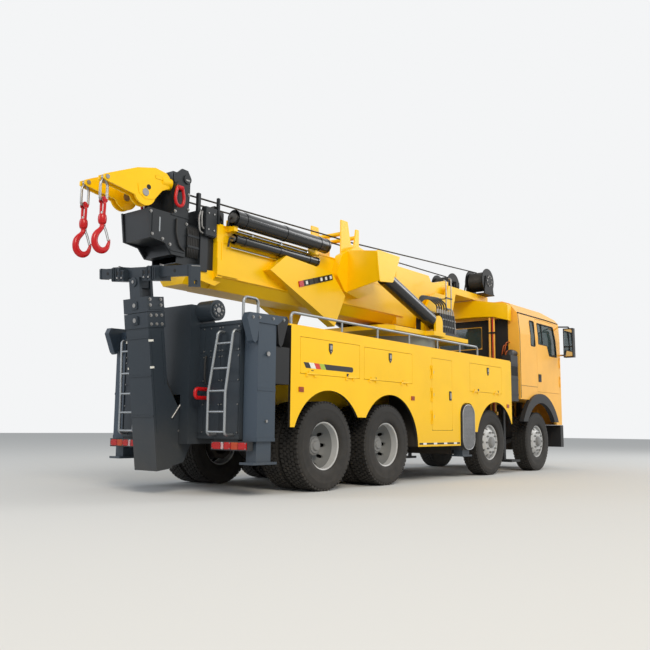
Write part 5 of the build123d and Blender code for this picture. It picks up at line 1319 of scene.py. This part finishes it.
def head_flank(made):
    """Shackle with its lug, keeper plates, edge ribs and a grab strip on one side of the head."""
    put_prism(made, [(-4.3, 3.48), (-4.205, 3.48), (-4.205, 3.56), (-4.235, 3.59), (-4.27, 3.59),
                     (-4.3, 3.56)], -0.29, -0.247, 0, 0.004)
    put_rod(made, (-4.3, -0.3, 3.512), (-4.205, -0.3, 3.512), 0.017, 2, 16)
    bow = [(-4.29, -0.302, 3.515), (-4.312, -0.302, 3.43), (-4.32, -0.302, 3.37), (-4.3, -0.302, 3.31),
           (-4.2525, -0.302, 3.288), (-4.205, -0.302, 3.31), (-4.185, -0.302, 3.37), (-4.193, -0.302, 3.43),
           (-4.215, -0.302, 3.515)]
    put_hose(made, bow, 0.019, 1, 12, 0.04)
    put_rod(made, (-4.29, -0.302, 3.512), (-4.215, -0.302, 3.512), 0.028, 1, 16)
    put_box(made, (-4.6, -0.254, 2.89), (-4.585, -0.247, 3.17), 0.003, 0)
    put_box(made, (-4.33, -0.256, 2.76), (-4.11, -0.247, 2.79), 0.004, 0)
    put_box(made, (-4.33, -0.256, 3.18), (-4.06, -0.247, 3.205), 0.004, 0)
    put_box(made, (-4.5, -0.253, 2.95), (-4.48, -0.247, 3.12), 0.004, 3)
    put_rod(made, (-4.1, -0.262, 3.66), (-4.1, -0.247, 3.66), 0.055, 0, 28)
    put_box(made, (-4.13, -0.268, 3.635), (-4.07, -0.26, 3.655), 0.003, 2)
    put_hose(made, [(-4.25, -0.262, 3.15), (-4.255, -0.262, 2.98), (-4.2, -0.262, 2.83),
                    (-4.12, -0.258, 2.79)], 0.011, 4, 8, 0.06)


both_sides("head_flank", head_flank, [mast_grey, hook_red, bolt_zinc, galvanised, hose_black], "boom_tip")
head_bolts = [(x, -0.2485, z) for x, z in ((-4.62, 3.16), (-4.59, 2.905), (-4.44, 2.875), (-4.33, 2.83),
                                           (-4.07, 3.3), (-4.07, 3.48), (-4.27, 3.24), (-4.09, 3.12))]
bolts_both("head_bolts", head_bolts, "boom_tip", 0.026, 0.012)


def beak_details(made):
    """Cheek cover with a black disc painted as the shade in its sight hole, sheave pin keeper and welded ribs
    on one sheave head.
    """
    outer, inner = -0.2255, -0.1145
    for face, out in ((outer, -1), (inner, 1)):
        low, high = sorted((face, face + out * 0.005))
        put_prism(made, [(-4.64, 3.52), (-4.56, 3.56), (-4.52, 3.46), (-4.56, 3.31), (-4.69, 3.285),
                         (-4.78, 3.34), (-4.8, 3.44)], low, high, 0, 0.002)
        put_rod(made, (-4.69, face, 3.364), (-4.69, face + out * 0.01, 3.364), 0.044, 2, 24)
        put_box(made, (-4.715, min(face, face + out * 0.014), 3.322),
                (-4.665, max(face, face + out * 0.014), 3.34), 0.003, 2)
    # Painted shade: thin black disc for the shade inside the cover's sight hole
    put_rod(made, (-4.648, -0.2295, 3.434), (-4.648, -0.2315, 3.434), 0.03, 1, 24)
    for near, far in ((-0.226, -0.236), (-0.114, -0.104)):
        put_rod(made, (-5.2, near, 3.41), (-5.2, far, 3.41), 0.024, 2, 20)
    put_box(made, (-4.555, -0.229, 3.56), (-4.345, -0.225, 3.6), 0.002, 0)


both_sides("beak_details", beak_details, [crane_yellow, seal_rubber, bolt_zinc], "beak_*")


def put_forging(made, spine, y, slot, steps=20):
    """Adds a solid bar along (x, z, half width, half depth) points in one upright plane."""
    part = bmesh.new()
    rings = []
    for k, (x, z, wide, deep) in enumerate(spine):
        before, after = spine[max(k - 1, 0)], spine[min(k + 1, len(spine) - 1)]
        ahead = Vector((after[0] - before[0], 0, after[1] - before[1])).normalized()
        across = Vector((ahead.z, 0, -ahead.x))
        rings.append([part.verts.new(Vector((x, y, z)) + across * wide * math.cos(2 * math.pi * j / steps)
                                     + Vector((0, deep * math.sin(2 * math.pi * j / steps), 0)))
                      for j in range(steps)])
    for one, two in zip(rings, rings[1:]):
        for j in range(steps):
            part.faces.new((one[j], one[(j + 1) % steps], two[(j + 1) % steps], two[j]))
    part.faces.new(rings[0])
    part.faces.new(list(reversed(rings[-1])))
    adopt(made, part, slot)


def smoothed(points, parts=4):
    """Points along a Catmull-Rom curve through given ones, each with any number of values."""
    made = []
    for k in range(len(points) - 1):
        a, b = points[max(k - 1, 0)], points[k]
        c, d = points[k + 1], points[min(k + 2, len(points) - 1)]
        for j in range(parts):
            s = j / parts
            made.append(tuple(0.5 * (2 * q + (r - p) * s + (2 * p - 5 * q + 4 * r - v) * s * s
                                     + (3 * q - p - 3 * r + v) * s ** 3) for p, q, r, v in zip(a, b, c, d)))
    return made + [tuple(points[-1])]


def forged_hook(made):
    """Bow link, clevis with its nut, swivel ball and forged hook with a sprung latch."""
    x, y = -5.2, -0.17
    link = [(x - 0.012, y, 3.392), (x - 0.044, y, 3.34), (x - 0.044, y, 3.16), (x + 0.044, y, 3.16),
            (x + 0.044, y, 3.34), (x + 0.012, y, 3.392)]
    put_hose(made, link, 0.0145, 1, 14, 0.022)
    put_rod(made, (x, y - 0.016, 3.41), (x, y + 0.016, 3.41), 0.032, 1, 24)
    bail = [(x, y - 0.028, 2.975), (x, y - 0.034, 3.1), (x, y - 0.024, 3.185), (x, y + 0.024, 3.185),
            (x, y + 0.034, 3.1), (x, y + 0.028, 2.975)]
    put_hose(made, bail, 0.0155, 0, 14, 0.03)
    for low, high in ((-0.046, -0.018), (0.018, 0.046)):
        put_box(made, (x - 0.03, y + low, 3.128), (x + 0.03, y + high, 3.17), 0.008, 0)
    put_rod(made, (x, y, 2.985), (x, y, 3.03), 0.019, 1, 6)
    ball = [(x, z, r, r) for z, r in ((3.004, 0.022), (2.998, 0.036), (2.978, 0.044), (2.948, 0.047),
                                      (2.918, 0.044), (2.9, 0.038), (2.892, 0.028))]
    put_forging(made, smoothed(ball, 3), y, 0, 24)
    hook = [(0.0, 2.905, 0.027, 0.027), (0.0, 2.862, 0.025, 0.025), (-0.022, 2.826, 0.026, 0.026),
            (-0.054, 2.79, 0.031, 0.027), (-0.078, 2.746, 0.036, 0.029), (-0.085, 2.698, 0.037, 0.03),
            (-0.072, 2.65, 0.04, 0.03), (-0.038, 2.616, 0.04, 0.03), (0.006, 2.606, 0.036, 0.029),
            (0.048, 2.62, 0.031, 0.026), (0.078, 2.652, 0.025, 0.022), (0.092, 2.694, 0.019, 0.018),
            (0.1, 2.726, 0.013, 0.013), (0.108, 2.744, 0.004, 0.005)]
    put_forging(made, smoothed([(x + a, z, w, d) for a, z, w, d in hook]), y, 0, 24)
    for reach in (-0.014, 0.014):
        put_hose(made, [(x + 0.02, y + reach, 2.884), (x + 0.052, y + reach, 2.83),
                        (x + 0.091, y + reach, 2.722)], 0.005, 1, 8)
    put_rod(made, (x + 0.022, y - 0.026, 2.88), (x + 0.022, y + 0.026, 2.88), 0.008, 1, 10)


for side, sign in both:
    hook = build_piece("forged_hook_" + side, forged_hook, [hook_red, bolt_zinc], "hook_" + side,
                       sign > 0, 60)
    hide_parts("hook_" + side)

# Winches and ropes: black drums wound with 22 mm wire rope, which runs forward-to-aft over the boom's
# guide rollers to the sheaves in the head.
# Black paint on the drums, dull with grease and dust
winch_black = painted_steel("winch_black", "#131415", "#4b4640", -2.0, 0.9, 0.55, 0.1, 0.0)
dress("winches", winch_black)
winch_place = Vector((3.19, 0.0, 3.545))
rope_pitch = 0.024
rope_turns = 13
for side, sign in both:
    start = 0.216
    profile = [(start, 0.152)]
    for k in range(4 * rope_turns):
        bulge = 0.012 * math.sqrt(max(1 - (2 * abs(k % 4 / 4 - 0.5)) ** 2, 0))
        profile.append((start + rope_pitch * k / 4, 0.172 + bulge))
    profile.append((start + rope_pitch * rope_turns, 0.152))
    mesh = lathe("winch_rope_" + side, [(sign * y, r) for y, r in profile], 48, rope_steel, 60)
    mesh.transform(Matrix.Translation(winch_place))
    wound = collection_object("winch_rope_" + side, mesh)
    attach(wound, "turret")


def winch_motor(made):
    """Gearbox cover and foot strip outside one winch, and the motor with its hose on the inner side."""
    x, z = winch_place.x, winch_place.z
    put_rod(made, (x, -0.568, z), (x, -0.5765, z), 0.11, 0, 32)
    put_box(made, (x - 0.185, -0.574, 3.302), (x + 0.185, -0.546, 3.33), 0.005, 0)
    put_rod(made, (x, -0.15, z), (x, -0.172, z), 0.08, 0, 28)
    put_hose(made, [(x - 0.05, -0.12, z + 0.04), (x - 0.1, -0.12, z - 0.05), (x - 0.14, -0.12, z - 0.2),
                    (x - 0.3, -0.12, z - 0.24)], 0.013, 1, 8, 0.08)
    put_box(made, (x - 0.075, -0.172, z - 0.06), (x + 0.075, -0.095, z + 0.06), 0.01, 0)


both_sides("winch_motor", winch_motor, [winch_black, hose_black], "turret")
drum_bolts = upright_ring(winch_place.x, -0.5765, winch_place.z, 0.092, 8)
bolts_both("winch_bolts", drum_bolts, "turret", 0.02, 0.008)

rope_radius = 0.011
for side, sign in both:
    y = sign * 0.12
    runs = (
        ("rope_head_", "boom_tip", "boom_mid", [(-4.1, y, 3.529), (-3.86, y, 3.533)],
         (-4.08, 0, 3.5), (-3.88, 0, 3.5)),
        ("rope_middle_", "boom_mid", "boom_base",
         [(-3.86, y, 3.533), (-1.04, y, 3.597), (-0.71, y, 3.597)], (-3.8, 0, 3.6), (-1.1, 0, 3.6)),
        ("rope_winch_", "boom_base", "turret", [(-0.71, y, 3.597), (3.15, sign * 0.33, 3.726)],
         (0.4, 0, 3.6), (1.8, 0, 3.6)),
    )
    for label, near, far, route, start, end in runs:
        made = bmesh.new()
        fine = [Vector(a).lerp(Vector(b), k / 10) for a, b in zip(route, route[1:]) for k in range(10)]
        put_hose(made, fine + [Vector(route[-1])], rope_radius, 0, 10, 0.002)
        mesh = mesh_of(label + side, made, rope_steel)
        mesh.shade_smooth()
        rope = collection_object(label + side, mesh)
        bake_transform(rope)

# Turret: valve block and hoses of the crane's hydraulics, bolted to the platform beside each cheek.


def valve_block(made):
    """Row of black spool valves with their fittings, a manifold, bent steel pipes and arched hoses."""
    put_box(made, (0.95, -0.745, 2.292), (1.64, -0.47, 2.34), 0.006, 0)
    put_box(made, (1.01, -0.7, 2.34), (1.58, -0.5, 2.56), 0.012, 0)
    for k in range(7):
        x = 1.067 + 0.078 * k
        put_box(made, (x - 0.027, -0.716, 2.36), (x + 0.027, -0.484, 2.66), 0.006, 0)
        put_rod(made, (x, -0.655, 2.65), (x, -0.655, 2.735), 0.021, 1, 16)
        put_rod(made, (x, -0.545, 2.65), (x, -0.545, 2.705), 0.017, 1, 16)
        for z in (2.44, 2.56):
            put_rod(made, (x, -0.714, z), (x, -0.735, z), 0.016, 1, 6)
    for k in range(5):
        x = 1.067 + 0.078 * k
        put_hose(made, [(x, -0.655, 2.72), (x - 0.02, -0.655, 2.8 + 0.012 * k),
                        (x - 0.24, -0.65, 2.872 + 0.012 * k), (0.62 - 0.03 * k, -0.64, 2.84 + 0.012 * k),
                        (0.44 + 0.026 * k, -0.64, 2.56), (0.47 + 0.026 * k, -0.62, 2.33)],
                 0.0125, 2, 8, 0.16)
    for k in range(3):
        x = 1.46 + 0.06 * k
        put_hose(made, [(x, -0.545, 2.7), (x, -0.56, 2.8), (x + 0.1, -0.6, 2.81), (x + 0.13, -0.64, 2.48),
                        (x + 0.13, -0.64, 2.32)], 0.01, 1, 8, 0.05)


def risers(made):
    """Two steel pipes that run up from the valves beside the boom's foot, with their clamp."""
    for x, top in ((1.436, 3.27), (1.61, 3.33)):
        put_hose(made, [(x, -0.62, 2.6), (x, -0.62, top), (x + 0.03, -0.56, top + 0.02)], 0.011, 0, 12, 0.03)
    put_box(made, (1.42, -0.636, 2.96), (1.626, -0.604, 2.985), 0.003, 1)
    put_box(made, (1.5, -0.62, 2.965), (1.53, -0.4, 2.98), 0.002, 1)


both_sides("valve_block", valve_block, [tube_black, bolt_zinc, hose_black], "turret")
both_sides("risers", risers, [bolt_zinc, tube_black], "turret")
turret_bolts = [(x, sign * 0.7, 2.2915) for sign in (-1, 1) for x in (-0.3, -0.1, 0.1, 0.3, 1.8)]
bolts_at("turret_bolts", turret_bolts, (0, 0, 1), "turret", 0.034, 0.016)
bolts_both("pivot_bolts", upright_ring(1.56, -0.4105, 2.92, 0.092, 6), "turret", 0.026, 0.012)
